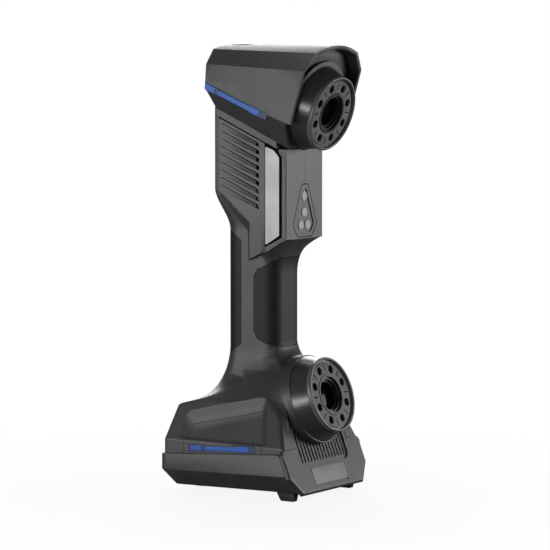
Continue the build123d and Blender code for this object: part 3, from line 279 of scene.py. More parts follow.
# ---- Surfaces from distance fields ----------------------------------------------------------------
def gradient(field, points, reach=0.02):
    """Unit normals of a field at these points."""
    columns = []
    for axis in range(3):
        ahead, behind = points.copy(), points.copy()
        ahead[:, axis] += reach
        behind[:, axis] -= reach
        columns.append(field(*ahead.T) - field(*behind.T))
    steep = np.stack(columns, 1)
    return steep / np.maximum(np.linalg.norm(steep, axis=1, keepdims=True), 1e-12)


SLAB = 24                     # grid layers worked out at a time
ROOT_STEPS = 5                # steps taken to find where an edge crosses the surface
FLAT = 0.06                   # below this share of the largest, a direction counts as flat


def sample(field, low, step, count):
    """The field on a regular grid, worked out slab by slab to save memory."""
    axes = [low[i] + step * np.arange(count[i]) for i in range(3)]
    grid = np.empty(count)
    for start in range(0, count[2], SLAB):
        part = slice(start, start + SLAB)
        grid[:, :, part] = field(*np.meshgrid(axes[0], axes[1], axes[2][part], indexing="ij", sparse=True))
    return grid


def crossings(field, grid, low, step, axis):
    """Grid edges along one axis that the surface cuts: index, exact point, starts inside."""
    inside = grid < 0
    first, second = [slice(None)] * 3, [slice(None)] * 3
    first[axis], second[axis] = slice(0, -1), slice(1, None)
    index = np.argwhere(inside[tuple(first)] != inside[tuple(second)])
    for other in {0, 1, 2} - {axis}:
        index = index[(index[:, other] > 0) & (index[:, other] < grid.shape[other] - 1)]
    far = index.copy()
    far[:, axis] += 1
    near_value, far_value = grid[tuple(index.T)], grid[tuple(far.T)]
    starts_inside = near_value < 0
    near, end = np.zeros(len(index)), np.ones(len(index))
    share = near_value / (near_value - far_value)
    for _ in range(ROOT_STEPS):
        point = low + step * index
        point[:, axis] += share * step
        value = field(*point.T)
        same = (value < 0) == starts_inside
        near, near_value = np.where(same, share, near), np.where(same, value, near_value)
        end, far_value = np.where(same, end, share), np.where(same, far_value, value)
        # a line between the two ends, kept off them so that both close in
        span = np.where(near_value == far_value, 1.0, near_value - far_value)
        share = near + (end - near) * np.clip(near_value / span, 0.1, 0.9)
    point = low + step * index
    point[:, axis] += share * step
    return index, point, starts_inside


def contour(field, low, high, step):
    """Dual contouring: vertices and quads of the surface where field is 0, with its sharp edges."""
    low = np.array(low, float)
    count = np.ceil((np.array(high, float) - low) / step).astype(int) + 1
    grid = sample(field, low, step, count)
    edges = [crossings(field, grid, low, step, axis) for axis in range(3)]
    normals = gradient(field, np.concatenate([point for _, point, _ in edges]))
    cell_count = count - 1
    stride = np.array([cell_count[1] * cell_count[2], cell_count[2], 1])
    corners = [[], [], []]
    for axis, (index, point, _) in enumerate(edges):
        others = [i for i in range(3) if i != axis]
        for shift in ((1, 1), (0, 1), (0, 0), (1, 0)):
            cell = index.copy()
            cell[:, others] -= shift
            corners[axis].append(cell @ stride)
    keys = np.concatenate([np.concatenate(c) for c in corners])
    points = np.concatenate([np.tile(point, (4, 1)) for _, point, _ in edges])
    sizes = [len(index) for index, _, _ in edges]
    parts = np.split(normals, np.cumsum(sizes)[:-1])
    normals = np.concatenate([np.tile(part, (4, 1)) for part in parts])
    cells, slot, number = np.unique(keys, return_inverse=True, return_counts=True)
    total = len(cells)

    def summed(values):
        return np.bincount(slot, values, total)

    centre = np.stack([summed(points[:, i]) for i in range(3)], 1) / number[:, None]
    distance = (normals * (points - centre[slot])).sum(1)
    matrix = np.stack([summed(normals[:, i] * normals[:, j]) for i in range(3) for j in range(3)], 1)
    right = np.stack([summed(normals[:, i] * distance) for i in range(3)], 1)
    values, vectors = np.linalg.eigh(matrix.reshape(-1, 3, 3))
    kept = values > FLAT * values[:, -1:]
    inverse = np.where(kept, 1 / np.where(kept, values, 1), 0)
    moved = np.einsum("nij,nj->ni", vectors, inverse * np.einsum("nji,nj->ni", vectors, right))
    place = np.stack([cells // stride[0], cells // stride[1] % cell_count[1], cells % stride[1]], 1)
    corner = low + step * place
    vertices = np.clip(centre + moved, corner, corner + step)
    quads = []
    for axis, (_, _, starts_inside) in enumerate(edges):
        quad = np.searchsorted(cells, np.stack(corners[axis], 1))
        turned = starts_inside if axis == 1 else ~starts_inside
        quad[turned] = quad[turned][:, ::-1]
        quads.append(quad)
    return vertices, np.concatenate(quads)


# ---- Housing, as distance fields in millimetres -----------------------------------------------------
def smooth_min(a, b, k):
    """Union whose crease is rounded over a width of about k."""
    h = np.maximum(k - np.abs(a - b), 0.0)
    return np.minimum(a, b) - h * h / (4.0 * k)


def smooth_max(a, b, k):
    """Intersection whose edge is rounded over a width of about k."""
    return -smooth_min(-a, -b, k)


def every(*values):
    """Intersection of fields."""
    result = values[0]
    for value in values[1:]:
        result = np.maximum(result, value)
    return result


def within(value, low, high):
    """Distance outside the span from low to high."""
    return np.maximum(low - value, value - high)


def cut(value, *holes):
    """Field with these fields taken out of it."""
    for hole in holes:
        value = np.maximum(value, -hole)
    return value


def polygon(u, v, outline):
    """Signed distance to a closed outline in its plane."""
    nearest, winding = 1e9, 1.0
    points = [np.array(p, float) for p in outline]
    for a, b in zip(points, points[1:] + points[:1]):
        e = b - a
        du, dv = u - a[0], v - a[1]
        along = np.clip((du * e[0] + dv * e[1]) / (e @ e), 0.0, 1.0)
        nearest = np.minimum(nearest, (du - e[0] * along) ** 2 + (dv - e[1] * along) ** 2)
        above, below, left = v >= a[1], v < b[1], e[0] * dv > e[1] * du
        crossed = (above & below & left) | (~above & ~below & ~left)
        winding = np.where(crossed, -winding, winding)
    return winding * np.sqrt(nearest)


def rise(value, start, end):
    """Smooth step from 0 at start to 1 at end."""
    t = np.clip((value - start) / (end - start), 0.0, 1.0)
    return t * t * (3.0 - 2.0 * t)


def swell(value, start, end):
    """Quarter-round flare from 0 at start to nearly 1 at end."""
    t = np.clip((value - start) / (end - start), 0.0, 0.985)
    return 1.0 - np.sqrt(1.0 - t * t)


HANDLE_HALF, HANDLE_FRONT, HANDLE_REAR, HANDLE_CORNER = 17.5, -16.4, 24.9, 12.0
BODY_HALF, BODY_FRONT, BODY_REAR, BODY_CORNER = 21.5, -28.2, 30.0, 3.0
BODY_EDGE = 0.9               # rounding of the body's front edges
TAPER = (174.0, 202.0)        # heights between which the handle widens into the body
FLARE = (98.0, 58.0)          # heights between which the neck flares out, going down
FLARE_SIDE, FLARE_REAR = 15.0, 26.0
LEAN_REACH = 0.3              # half of the height over which the core's lean is measured


def core_section(x, y, z):
    """Distance to the core's rounded outline at this height, in its own plane."""
    taper = rise(z, *TAPER)
    flare = swell(z, *FLARE)
    half = HANDLE_HALF + FLARE_SIDE * flare + (BODY_HALF - HANDLE_HALF) * taper
    front = HANDLE_FRONT
    rear = HANDLE_REAR + FLARE_REAR * flare + (BODY_REAR - HANDLE_REAR) * taper
    corner = HANDLE_CORNER - (HANDLE_CORNER - BODY_CORNER) * taper
    qx = np.abs(x) - (half - corner)
    qy = np.abs(y - (front + rear) / 2) - ((rear - front) / 2 - corner)
    return np.hypot(np.maximum(qx, 0), np.maximum(qy, 0)) + np.minimum(np.maximum(qx, qy), 0) - corner


def core(x, y, z):
    """Handle and neck: flared into the base below, swelling into the body above."""
    value = core_section(x, y, z)
    above, below = core_section(x, y, z + LEAN_REACH), core_section(x, y, z - LEAN_REACH)
    slope = (above - below) / (2 * LEAN_REACH)
    return value / np.sqrt(1.0 + slope * slope)


HEAD_REAR, HEAD_HALF = 27.1, 35.6
HEAD_FLOOR_REAR, HEAD_FLOOR_SLOPE = 254.7, 0.453


def head_floor(y, z):
    """Distance above the head's sloping underside, where the body ends."""
    return (z - HEAD_FLOOR_REAR + HEAD_FLOOR_SLOPE * (HEAD_REAR - y)) / math.hypot(1, HEAD_FLOOR_SLOPE)


def rounded_corner(a, b, radius):
    """Intersection of two faces whose shared edge is a true round of this radius."""
    qa, qb = a + radius, b + radius
    return np.hypot(np.maximum(qa, 0), np.maximum(qb, 0)) + np.minimum(np.maximum(qa, qb), 0) - radius


UNDERCUT = 4.6                # how far in from the body's side its sloping underside reaches
UNDERCUT_BACK, UNDERCUT_DOWN = 0.8, 1.1   # how far it runs back and down for each mm inwards
FACET_REAR = 1.3              # Y of the upright edge where the body ends above the handle
LOW_FRONT_Y, LOW_FRONT_Z, LOW_FRONT_SLOPE = -27.5, 169.3, 0.4757    # lower outline ahead of it
LOW_REAR_Z, LOW_REAR_SLOPE = 178.7, 0.838                           # and behind it
LOW_STEEPNESS = 1.3           # turns a height over that outline into about a distance


def body(x, y, z):
    """Upper body, with a stepped lower outline whose underside slopes in to the handle."""
    side = np.abs(x) - BODY_HALF
    rear = rounded_corner(side, y - BODY_REAR, BODY_CORNER)
    front = rounded_corner(side, BODY_FRONT - y, BODY_EDGE)
    inward = np.clip(-side, 0.0, UNDERCUT)
    ys = y - UNDERCUT_BACK * inward
    low_front = LOW_FRONT_Z - LOW_FRONT_SLOPE * np.maximum(y - LOW_FRONT_Y, 0.0)
    low_rear = LOW_REAR_Z + LOW_REAR_SLOPE * (ys - FACET_REAR) - UNDERCUT_DOWN * inward
    low = np.where(ys < FACET_REAR, low_front, low_rear)
    return every(rear, front, (low - z) / LOW_STEEPNESS)


FLANK_LEAN, REAR_LEAN, FRONT_LEAN, TOP_SLOPE = 0.41, 0.22, 0.385, 0.282
FRONT_THICKNESS = 3.2         # of the front panel, along Y
BASE_HALF, BASE_REAR, BAND_TOP = 44.5, 55.3, 35.0
TOP_Y, TOP_Z = 47.1, 58.5     # a point on the base's sloping top
FRONT_Y, FRONT_Z = -48.6, 5.8     # and one on its leaning front
CAMERA_FRONT, LOWER_CAMERA_HEIGHT = -50.4, 67.5
CAMERA_TILT = math.radians(16.5)
BARREL_DEPTH = 13.8           # of the lower barrel, from its bezel's front to the boss
BOSS_RADIUS, BOSS_DEPTH, BOSS_FOOT = 29.5, 46.0, 30.0
UPPER_CAMERA_HEIGHT = 251.2


def barrel_axis(x, y, z):
    """Depth behind the lower bezel's front plane, and distance from its axis."""
    dy, dz = y - CAMERA_FRONT, z - LOWER_CAMERA_HEIGHT
    depth = dy * math.cos(CAMERA_TILT) - dz * math.sin(CAMERA_TILT)
    across = dz * math.cos(CAMERA_TILT) + dy * math.sin(CAMERA_TILT)
    return depth, np.hypot(x, across)


def upper_radial(x, y, z):
    """Distance from the upper barrel's axis."""
    dy, dz = y - CAMERA_FRONT, z - UPPER_CAMERA_HEIGHT
    return np.hypot(x, dz * math.cos(CAMERA_TILT) - dy * math.sin(CAMERA_TILT))


def base_top(y, z):
    """Distance above the base's sloping top."""
    return (z - TOP_Z + TOP_SLOPE * (y - TOP_Y)) / math.hypot(1, TOP_SLOPE)


def base_front(y, z):
    """Distance in front of the base's leaning front."""
    return (FRONT_Y + FRONT_LEAN * (z - FRONT_Z) - y) / math.hypot(1, FRONT_LEAN)


def flank_distance(x, z):
    """Distance outside the leaning flank."""
    return (np.abs(x) - BASE_HALF + FLANK_LEAN * (z - BAND_TOP)) / math.hypot(1, FLANK_LEAN)


def flank_up(x, z):
    """Distance up the flank from the top of the band."""
    return ((z - BAND_TOP) - (np.abs(x) - BASE_HALF) * FLANK_LEAN) / math.hypot(1, FLANK_LEAN)


SHOULDER = 30.0               # above this the shell itself forms the sides of the front face
BASE_FOOT = 22.0              # where the shell ends behind the skirt
BASE_CORNER, FRONT_CREST = 4.0, 12.0      # roundings of its rear corners and of its front crest


def base(x, y, z, inset, roof):
    """Base under a roof: leaning flanks, rear and front."""
    flank = np.maximum(np.abs(x) - BASE_HALF, flank_distance(x, z)) + inset
    lean = (y - BASE_REAR + REAR_LEAN * (z - BAND_TOP)) / math.hypot(1, REAR_LEAN)
    rear = np.maximum(y - BASE_REAR, lean) + inset
    forward = np.where((z > SHOULDER) & (inset == 0.0), FRONT_THICKNESS, 0.0)
    top = smooth_max(roof + inset, base_front(y + forward, z) + inset, FRONT_CREST)
    # the edge under the roof is crisp at the rear and low down, and soft towards the front
    crest = np.clip(2.5 + 0.5 * (28.0 - y), 2.5, 12.0) * np.clip((z - 52.0) / 12.0, 0.2, 1.0)
    walls = smooth_max(flank, rear, BASE_CORNER)
    return np.maximum(smooth_max(walls, top, crest), BASE_FOOT - z)


# Recess in each flank, as (Y, distance up the flank): its rim, and its floor behind the rim
RECESS_RIM = ((41.0, 19.8), (-19.5, 35.6), (-27.0, 1.0), (43.5, 1.0))
RECESS_FLOOR = ((34.5, 12.4), (-17.8, 25.0), (-21.0, 1.8), (37.5, 1.8))
RECESS_DEPTH, RECESS_ROUND = 3.4, 1.8
RECESS_MIDDLE = np.array([8.0, 10.0, 1.0])    # a point inside it: Y, distance up, depth
INSERT_BAND = (-23.3, 38.6)   # Y of the seams where the insert crosses the band


def recess(x, y, z):
    """Flank recess: four sloping sides between its rim and its floor."""
    depth, up = -flank_distance(x, z), flank_up(x, z)
    value = depth - RECESS_DEPTH
    for i in range(4):
        rim_a, rim_b = RECESS_RIM[i], RECESS_RIM[(i + 1) % 4]
        floor_a, floor_b = RECESS_FLOOR[i], RECESS_FLOOR[(i + 1) % 4]
        start, end = np.array([*rim_a, 0.0]), np.array([*rim_b, 0.0])
        deep = np.array([(floor_a[0] + floor_b[0]) / 2, (floor_a[1] + floor_b[1]) / 2, RECESS_DEPTH])
        normal = np.cross(end - start, deep - start)
        normal /= np.linalg.norm(normal) * -np.sign(normal @ (RECESS_MIDDLE - start))
        side = (y - start[0]) * normal[0] + (up - start[1]) * normal[1] + depth * normal[2]
        value = smooth_max(value, side, RECESS_ROUND)
    return np.maximum(value, polygon(y, up, RECESS_RIM))


INSERT_THICKNESS = 1.6        # below the recess floor


def insert_zone(x, y, z):
    """Where the flank's insert lies: the recess floor, the band below it, and a step between them."""
    depth, up = -flank_distance(x, z), flank_up(x, z)
    under = depth - RECESS_DEPTH - INSERT_THICKNESS
    floor = every(polygon(y, up, RECESS_FLOOR), RECESS_DEPTH - 0.6 - depth, under)
    band = every(within(y, *INSERT_BAND), within(z, 26.0, 35.8), BASE_HALF - 2.2 - np.abs(x))
    step = every(within(y, -20.6, 37.0), within(up, -2.0, 2.4), under)
    return np.minimum(np.minimum(floor, band), every(step, BASE_HALF - 6.0 - np.abs(x)))


def boss(x, y, z):
    """Round boss that carries the lower barrel."""
    depth, radial = barrel_axis(x, y, z)
    return every(radial - BOSS_RADIUS, depth - BOSS_DEPTH, BOSS_FOOT - z)


NECK_FOOT = 52.0              # the neck's own shape ends here, inside the base
BARREL_CLEAR = 112.0          # below this the barrel's rear plane bounds the housing


def outside(x, y, z):
    """Handle, neck, base and boss flowing into each other, with the body on top."""
    depth, _ = barrel_axis(x, y, z)
    neck = np.maximum(core(x, y, z), NECK_FOOT - z)
    # the neck runs into the base's top in a wide fillet that narrows towards the rear
    roof = smooth_min(neck, base_top(y, z), np.clip(13.0 - 0.45 * (y - 16.0), 1.5, 13.0))
    lower = np.minimum(neck, base(x, y, z, 0.0, roof))
    # the boss's fillet grows with depth behind the barrel, is wider above, and dies at the flanks
    reach = 10.0 + 8.0 * np.clip((z - 82.0) / 8.0, 0.0, 1.0)
    blend = np.minimum(np.maximum((depth - BARREL_DEPTH) * 1.4, 0.4), reach)
    blend = blend * np.clip(-flank_distance(x, z) / 6.0, 0.15, 1.0)
    lower = smooth_min(lower, boss(x, y, z), blend)
    lower = np.where(z < BARREL_CLEAR, np.maximum(lower, BARREL_DEPTH - depth), lower)
    # the body's chin runs into the handle's front, and its other lower edges stay crisp
    chin = 0.2 + np.clip((-5.0 - y) * 1.8, 0.0, 14.0) * np.clip((178.0 - z) / 8.0, 0.0, 1.0)
    return np.maximum(smooth_min(body(x, y, z), lower, chin), head_floor(y, z))


# Ends of the front grip as (Y, Z) from its front to its rear edge
PAD_FRONT_TOP = ((-17.0, 156.7), (-16.0, 156.4), (-15.0, 154.9), (-7.5, 151.0), (-2.0, 148.8),
                 (0.6, 144.5))
PAD_FRONT_LOW = ((-17.0, 97.4), (-16.0, 97.6), (-15.0, 98.1), (-7.5, 100.4), (-2.0, 102.8),
                 (0.6, 107.0))
PAD_FRONT_EDGE, PAD_REAR_EDGE = 0.6, 10.8     # Y of the two edges beside the spine
PAD_REAR_TOP, PAD_TOP_SLOPE = 167.5, 0.67     # height of the rear grip's ends at its edge
PAD_REAR_LOW, PAD_LOW_SLOPE = 98.7, 0.63
PAD_DEPTH = 1.3


def front_pad_zone(y, z):
    """Inside the front grip's outline, seen from the side."""
    top = np.interp(y, *zip(*PAD_FRONT_TOP))
    low = np.interp(y, *zip(*PAD_FRONT_LOW))
    return every(z - top, low - z, y - PAD_FRONT_EDGE)


def rear_pad_zone(y, z):
    """Inside the rear grip's outline, whose ends run down and up towards the front."""
    top = (z - PAD_REAR_TOP - PAD_TOP_SLOPE * (y - PAD_REAR_EDGE)) / 1.2
    low = (PAD_REAR_LOW - PAD_LOW_SLOPE * (y - PAD_REAR_EDGE) - z) / 1.18
    return every(top, low, PAD_REAR_EDGE - y)


def shrunk(outline, amount):
    """Closed outline with every side moved inwards."""
    points = [np.array(p, float) for p in outline]
    area = sum(a[0] * b[1] - a[1] * b[0] for a, b in zip(points, points[1:] + points[:1]))
    amount = math.copysign(amount, area)
    result = []
    for before, here, after in zip(points[-1:] + points[:-1], points, points[1:] + points[:1]):
        first = (here - before) / np.linalg.norm(here - before)
        second = (after - here) / np.linalg.norm(after - here)
        turn = first[0] * second[1] - first[1] * second[0]
        result.append(here + amount * (second - first) / turn)
    return result


def rounded_polygon(u, v, outline, radius):
    """Distance to an outline whose corners are rounded."""
    return polygon(u, v, shrunk(outline, radius)) - radius


# Outlines in a side of the body, as (Y, Z): the vented panel, the name plate, and the plate's seat
PANEL_OUTLINE = ((26.0, 249.4), (-19.5, 229.1), (-25.0, 225.0), (-27.4, 219.5), (-27.4, 170.9),
                 (1.3, 156.6), (1.3, 179.6), (26.0, 200.3))
PLATE_OUTLINE = ((-11.0, 230.0), (-17.5, 227.6), (-21.8, 223.0), (-21.8, 171.9), (-11.0, 165.3))
PLATE_SEAT = ((-10.7, 233.0), (-19.5, 229.0), (-24.3, 223.5), (-24.3, 170.6), (-10.7, 163.7))
PANEL_DEPTH = 2.0
PANEL_PLAY = 0.22             # between the panel and the edge of its opening
PANEL_TOP, PANEL_TOP_SLOPE = 248.2, 0.4462    # height of the panel's top edge at its rear end
FACET_FRONT, FACET_TOP, FACET_SLOPE = -11.0, 177.4, 0.045     # the panel's slanted lower corner
PLATE_ROUND, PLATE_SUNK, PLATE_BACK = 0.8, 0.3, 0.88      # the plate's two faces, from the side
VENT_COUNT, VENT_PITCH, VENT_SLOPE, VENT_TOP = 9, 5.11, 0.42, 232.4
VENT_FRONT, VENT_REAR = -6.3, 24.5
VENT_HEIGHT = 3.0             # from a louvre's gap down to its foot
VENT_OPENING = 2.8            # length of the open end of each vent
# The laser panel and its windows, and the side screws: places as (X, Z) and as (Y, Z)
KITE = ((-4.1, 205.2), (4.1, 205.2), (14.6, 178.1), (8.8, 170.2), (-8.8, 170.2), (-14.6, 178.1))
KITE_ROUND, KITE_PLAY = 2.4, 0.55
KITE_RIM, KITE_DISH, KITE_THICKNESS = 3.1, 0.7, 1.9
WINDOW_SPOTS = ((0, 197.2), (0, 186.5), (-4.0, 178.2), (4.0, 178.2))
WINDOW_HOLE = 3.1             # radius
SCREWS = ((15.5, 108.0), (15.5, 160.0), (23.0, 201.0))
SCREW_HOLE, SCREW_SEAT = 2.85, 11.0       # radius of a counterbore, and X of its floor


def kite(x, z):
    """Rounded outline of the laser panel."""
    return rounded_polygon(x, z, KITE, KITE_ROUND)


def vents(x, y, z):
    """Louvres: floors that sink towards the front, a gap over each, and its open front end."""
    below = VENT_TOP + VENT_SLOPE * (y - VENT_FRONT) - z
    row = np.clip(np.floor(below / VENT_PITCH), 0, VENT_COUNT - 1)
    below = below - row * VENT_PITCH
    share = np.clip((VENT_REAR - y) / (VENT_REAR - VENT_FRONT), 0.0, 1.0)
    depth = share * (1.45 - 0.35 * below)
    span = within(y, VENT_FRONT, VENT_REAR)
    floor = every(span, within(below, 0.0, VENT_HEIGHT), BODY_HALF - depth - np.abs(x))
    gap = every(span + 1.0, within(below, 0.0, 0.45 + 0.65 * share))
    end = every(within(y, VENT_FRONT, VENT_FRONT + VENT_OPENING), within(below, 0.0, VENT_HEIGHT))
    return np.minimum(np.minimum(floor, gap), end)


def side_panel(x, y, z):
    """Vented panel in the body's side, with a seat for the name plate and a raised rim."""
    top = z - PANEL_TOP + PANEL_TOP_SLOPE * (PANEL_OUTLINE[0][0] - y)
    edge = every(polygon(y, z, PANEL_OUTLINE) + PANEL_PLAY, top)
    facet = FACET_SLOPE * np.clip(FACET_REAR + FACET_TOP - y - z, 0.0, 40.0)
    slanted = every(FACET_FRONT - y, y - FACET_REAR)
    face = BODY_HALF - np.where(slanted < 0, facet * np.clip((y - FACET_FRONT) / 4.0, 0.0, 1.0), 0.0)
    seat = polygon(y, z, PLATE_SEAT)
    slab = every(edge, np.abs(x) - face, BODY_HALF - PANEL_DEPTH + 0.08 - np.abs(x))
    return cut(slab, vents(x, y, z), seat)


def name_plate(x, y, z):
    """Plain plate in the panel's seat."""
    outline = rounded_polygon(y, z, PLATE_OUTLINE, PLATE_ROUND)
    return every(outline, np.abs(x) - BODY_HALF + PLATE_SUNK, BODY_HALF - PLATE_BACK - np.abs(x))


def plate_shade_bed(x, y, z):
    """Bed that the name plate is stuck to, near-black and barely glossy: painted shade in the channel
    round the plate.
    """
    shelf = every(polygon(y, z, PLATE_SEAT) + 0.1, np.abs(x) - BODY_HALF + 1.4)
    outline = rounded_polygon(y, z, PLATE_OUTLINE, PLATE_ROUND)
    middle = every(outline + 0.6, np.abs(x) - BODY_HALF + 0.9)
    return every(np.minimum(shelf, middle), BODY_HALF - PANEL_DEPTH + 0.03 - np.abs(x))


def laser_panel(x, y, z):
    """Kite-shaped panel whose middle lies lower than its rim, with four round holes."""
    outline = kite(x, z)
    slab = every(outline + KITE_PLAY, BODY_FRONT - y, y - BODY_FRONT - KITE_THICKNESS)
    dish = every(outline + KITE_RIM, y - BODY_FRONT - KITE_DISH)
    holes = [np.hypot(x - a, z - b) - WINDOW_HOLE for a, b in WINDOW_SPOTS]
    return cut(slab, dish, *holes)


NECK_WALL, BODY_WALL, BASE_WALL, RECESS_WALL = 3.2, 3.6, 2.4, 3.4


def room(x, y, z):
    """The hollow inside the housing, with its openings."""
    neck = np.maximum(core(x, y, z) + NECK_WALL, 50.0 - z)
    upper = np.maximum(body(x, y, z) + BODY_WALL, 180.0 - z)
    lower = np.maximum(base(x, y, z, BASE_WALL, base_top(y, z)), RECESS_WALL - recess(x, y, z))
    depth, radial = barrel_axis(x, y, z)
    # the lower barrel's spigot, and the room for the camera behind it
    spigot = every(radial - 22.1, depth - 28.0, 10.0 - depth)
    chamber = every(radial - 26.5, depth - 36.8, 16.8 - depth)
    result = np.minimum(np.minimum(np.minimum(neck, upper), lower), np.minimum(spigot, chamber))
    openings = {
        "up into the head": every(np.abs(x) - 16.0, within(y, -19.0, 20.0), 200.0 - z),
        "bottom cover": every(np.abs(x) - 42.1, within(y, -34.0, 50.0), z - 27.0),
        "vents": every(within(y, -6.0, 20.0), within(z, 205.0, 236.0), z - 231.0 - 0.35 * (y + 6.0)),
        "grille": every(np.abs(x) - 22.0, within(z, 26.0, 44.0), y + 20.0, BOSS_RADIUS + 0.3 - radial),
        "keypad": every(np.abs(x) - 9.5, within(z, 203.5, 247.5), 20.0 - y),
        "cable socket": every(np.hypot(x, z - 44.0) - 8.1, 40.0 - y),
        "front wall's top": every(228.2 - z, y + 20.0),
        "upper barrel": every(upper_radial(x, y, z) - 29.2, y + 20.0, 215.0 - z),
        "laser panel": every(kite(x, z) + 1.8, y + 22.0),
    }
    for opening in openings.values():
        result = np.minimum(result, opening)
    return result


# Light strip in the base's band: its rear end and its middle, as Y, and its length
BASE_STRIP_REAR, BASE_STRIP_MIDDLE, BASE_STRIP_LENGTH = 33.7, 7.2, 53.0
BASE_STRIP_HEIGHT, BASE_STRIP_SLOPE, BASE_STRIP_HALF = 31.8, 0.048, 2.05
SLOT_LENGTH, SLOT_HALF = 26.7, 2.25       # half of the slot's length, half of its height


def strip_above(y, z):
    """Height above the middle line of the base's strip."""
    return z - BASE_STRIP_HEIGHT + BASE_STRIP_SLOPE * (y - BASE_STRIP_MIDDLE)


def strip_slot(x, y, z):
    """Slot for the light strip in the band."""
    ends, edges = np.abs(y - BASE_STRIP_MIDDLE) - SLOT_LENGTH, np.abs(strip_above(y, z)) - SLOT_HALF
    return every(rounded_corner(ends, edges, 1.0), BASE_HALF - 1.3 - np.abs(x))


# Outline of the front panel, as X and the distance up its slope
FRONT_OUTLINE = ((-36.9, 0.0), (36.9, 0.0), (47.3, 12.6), (47.3, 28.2), (44.4, 31.2), (32.0, 31.2),
                 (29.5, 60.0), (-29.5, 60.0), (-32.0, 31.2), (-44.4, 31.2), (-47.3, 28.2), (-47.3, 12.6))
FRONT_FOOT_Y, FRONT_FOOT_Z = -51.9, 5.0
GRILLE_PITCH, GRILLE_COUNT, GRILLE_SLOT = 3.6, 15, 0.8
GRILLE_UP, GRILLE_REACH = 31.0, 9.6       # middle of the slots up the slope, half of their length
GRILLE_FRAME, GRILLE_FRAME_ROUND = (28.3, 13.0), 5.0      # half sizes of the sunken field round them
NAME_UP, NAME_HALF = 9.8, (20.1, 5.9)     # the plate's recess
SEAM_HEIGHT = 4.0             # of the small part line under the plate


def front_place(y, z):
    """Height up the sloping front face, and distance behind it."""
    lean = math.hypot(1.0, FRONT_LEAN)
    dy, dz = y - FRONT_FOOT_Y, z - FRONT_FOOT_Z
    return (dz + FRONT_LEAN * dy) / lean, (dy - FRONT_LEAN * dz) / lean


def panel_pocket(x, y, z):
    """Room for the front panel in the shell, a hair larger than the panel."""
    up, behind = front_place(y, z)
    _, radial = barrel_axis(x, y, z)
    thick = FRONT_THICKNESS / math.hypot(1.0, FRONT_LEAN)
    return every(polygon(x, up, FRONT_OUTLINE) - 0.2, behind - thick, BOSS_RADIUS + 0.2 - radial)


def housing(x, y, z):
    """Left half of the housing."""
    skin = outside(x, y, z)
    value = cut(skin, room(x, y, z), recess(x, y, z), insert_zone(x, y, z) - 0.25,
                np.maximum(front_pad_zone(y, z) - 0.25, -skin - PAD_DEPTH - 0.05),
                np.maximum(rear_pad_zone(y, z) - 0.25, -skin - PAD_DEPTH - 0.05),
                np.maximum(polygon(y, z, PANEL_OUTLINE), BODY_HALF - PANEL_DEPTH - np.abs(x)),
                np.maximum(kite(x, z) - 0.1, y - BODY_FRONT - 2.6),
                panel_pocket(x, y, z),
                strip_slot(x, y, z))
    return np.maximum(value, 0.07 - x)


def housing_with_screws(x, y, z):
    """The half that also has the screws' counterbores in its side."""
    value = housing(x, y, z)
    for screw_y, screw_z in SCREWS:
        hole = np.hypot(y - screw_y, z - screw_z) - SCREW_HOLE
        value = cut(value, np.maximum(hole, SCREW_SEAT - x))
    return value


def pad(zone):
    """A grip pad in the handle's skin."""
    def field(x, y, z):
        skin = outside(x, y, z)
        return every(skin, -skin - PAD_DEPTH, zone(y, z))
    return field


def flank_insert(x, y, z):
    """Insert in the flank: floor of the recess and the band under it."""
    skin = every(np.abs(x) - BASE_HALF, flank_distance(x, z))
    hollow = every(recess(x, y, z), 35.5 - z)
    return cut(every(insert_zone(x, y, z), skin), hollow, strip_slot(x, y, z))


def front_panel(x, y, z):
    """Sloping front of the base, with its grille and the plate's recess."""
    up, behind = front_place(y, z)
    _, radial = barrel_axis(x, y, z)
    thick = FRONT_THICKNESS / math.hypot(1.0, FRONT_LEAN)
    slab = smooth_max(polygon(x, up, FRONT_OUTLINE), -behind, np.clip(2.2 - 0.4 * (up - 25.0), 0.3, 2.2))
    slab = every(slab, behind - thick + 0.1)
    along = np.abs(up - GRILLE_UP)
    sunken = rounded_corner(np.abs(x) - GRILLE_FRAME[0], along - GRILLE_FRAME[1], GRILLE_FRAME_ROUND)
    sunken = every(sunken, behind - 1.2, -behind - 6.0)
    column = np.clip(np.round(x / GRILLE_PITCH), -(GRILLE_COUNT // 2), GRILLE_COUNT // 2)
    slot = np.hypot(x - column * GRILLE_PITCH, np.maximum(along - GRILLE_REACH, 0.0)) - GRILLE_SLOT
    plate = every(np.abs(x) - NAME_HALF[0], np.abs(up - NAME_UP) - NAME_HALF[1], behind - 0.8)
    seam = every(np.abs(x) - 0.25, up - SEAM_HEIGHT, behind - 0.5)
    return cut(slab, radial - BOSS_RADIUS - 0.4, sunken, slot, plate, seam)


# Light strip on the head: its lower edge falls forward from a height at the head's rear
HEAD_STRIP_REAR, HEAD_STRIP_SLOPE = 266.85, 0.41
HEAD_STRIP_START, HEAD_STRIP_LENGTH = -1.6, 52.6
HEAD_STRIP_MIDDLE, HEAD_STRIP_HALF = 2.4, 2.3


def head_strip_place(x, y, z):
    """Share of the head strip's length, height off its middle, and distance out of the head."""
    tilt = math.atan(HEAD_STRIP_SLOPE)
    back = HEAD_REAR - y
    along = back * math.cos(tilt) + (HEAD_STRIP_REAR - z) * math.sin(tilt)
    above = (z - HEAD_STRIP_REAR) * math.cos(tilt) + back * math.sin(tilt)
    out = np.maximum(np.abs(x) - HEAD_HALF, y - HEAD_REAR - 0.1)
    return (along - HEAD_STRIP_START) / HEAD_STRIP_LENGTH, above - HEAD_STRIP_MIDDLE, out


def base_strip_place(x, y, z):
    """The same three for a strip in the base's band."""
    share = (BASE_STRIP_REAR - y) / BASE_STRIP_LENGTH
    return share, strip_above(y, z), np.abs(x) - BASE_HALF


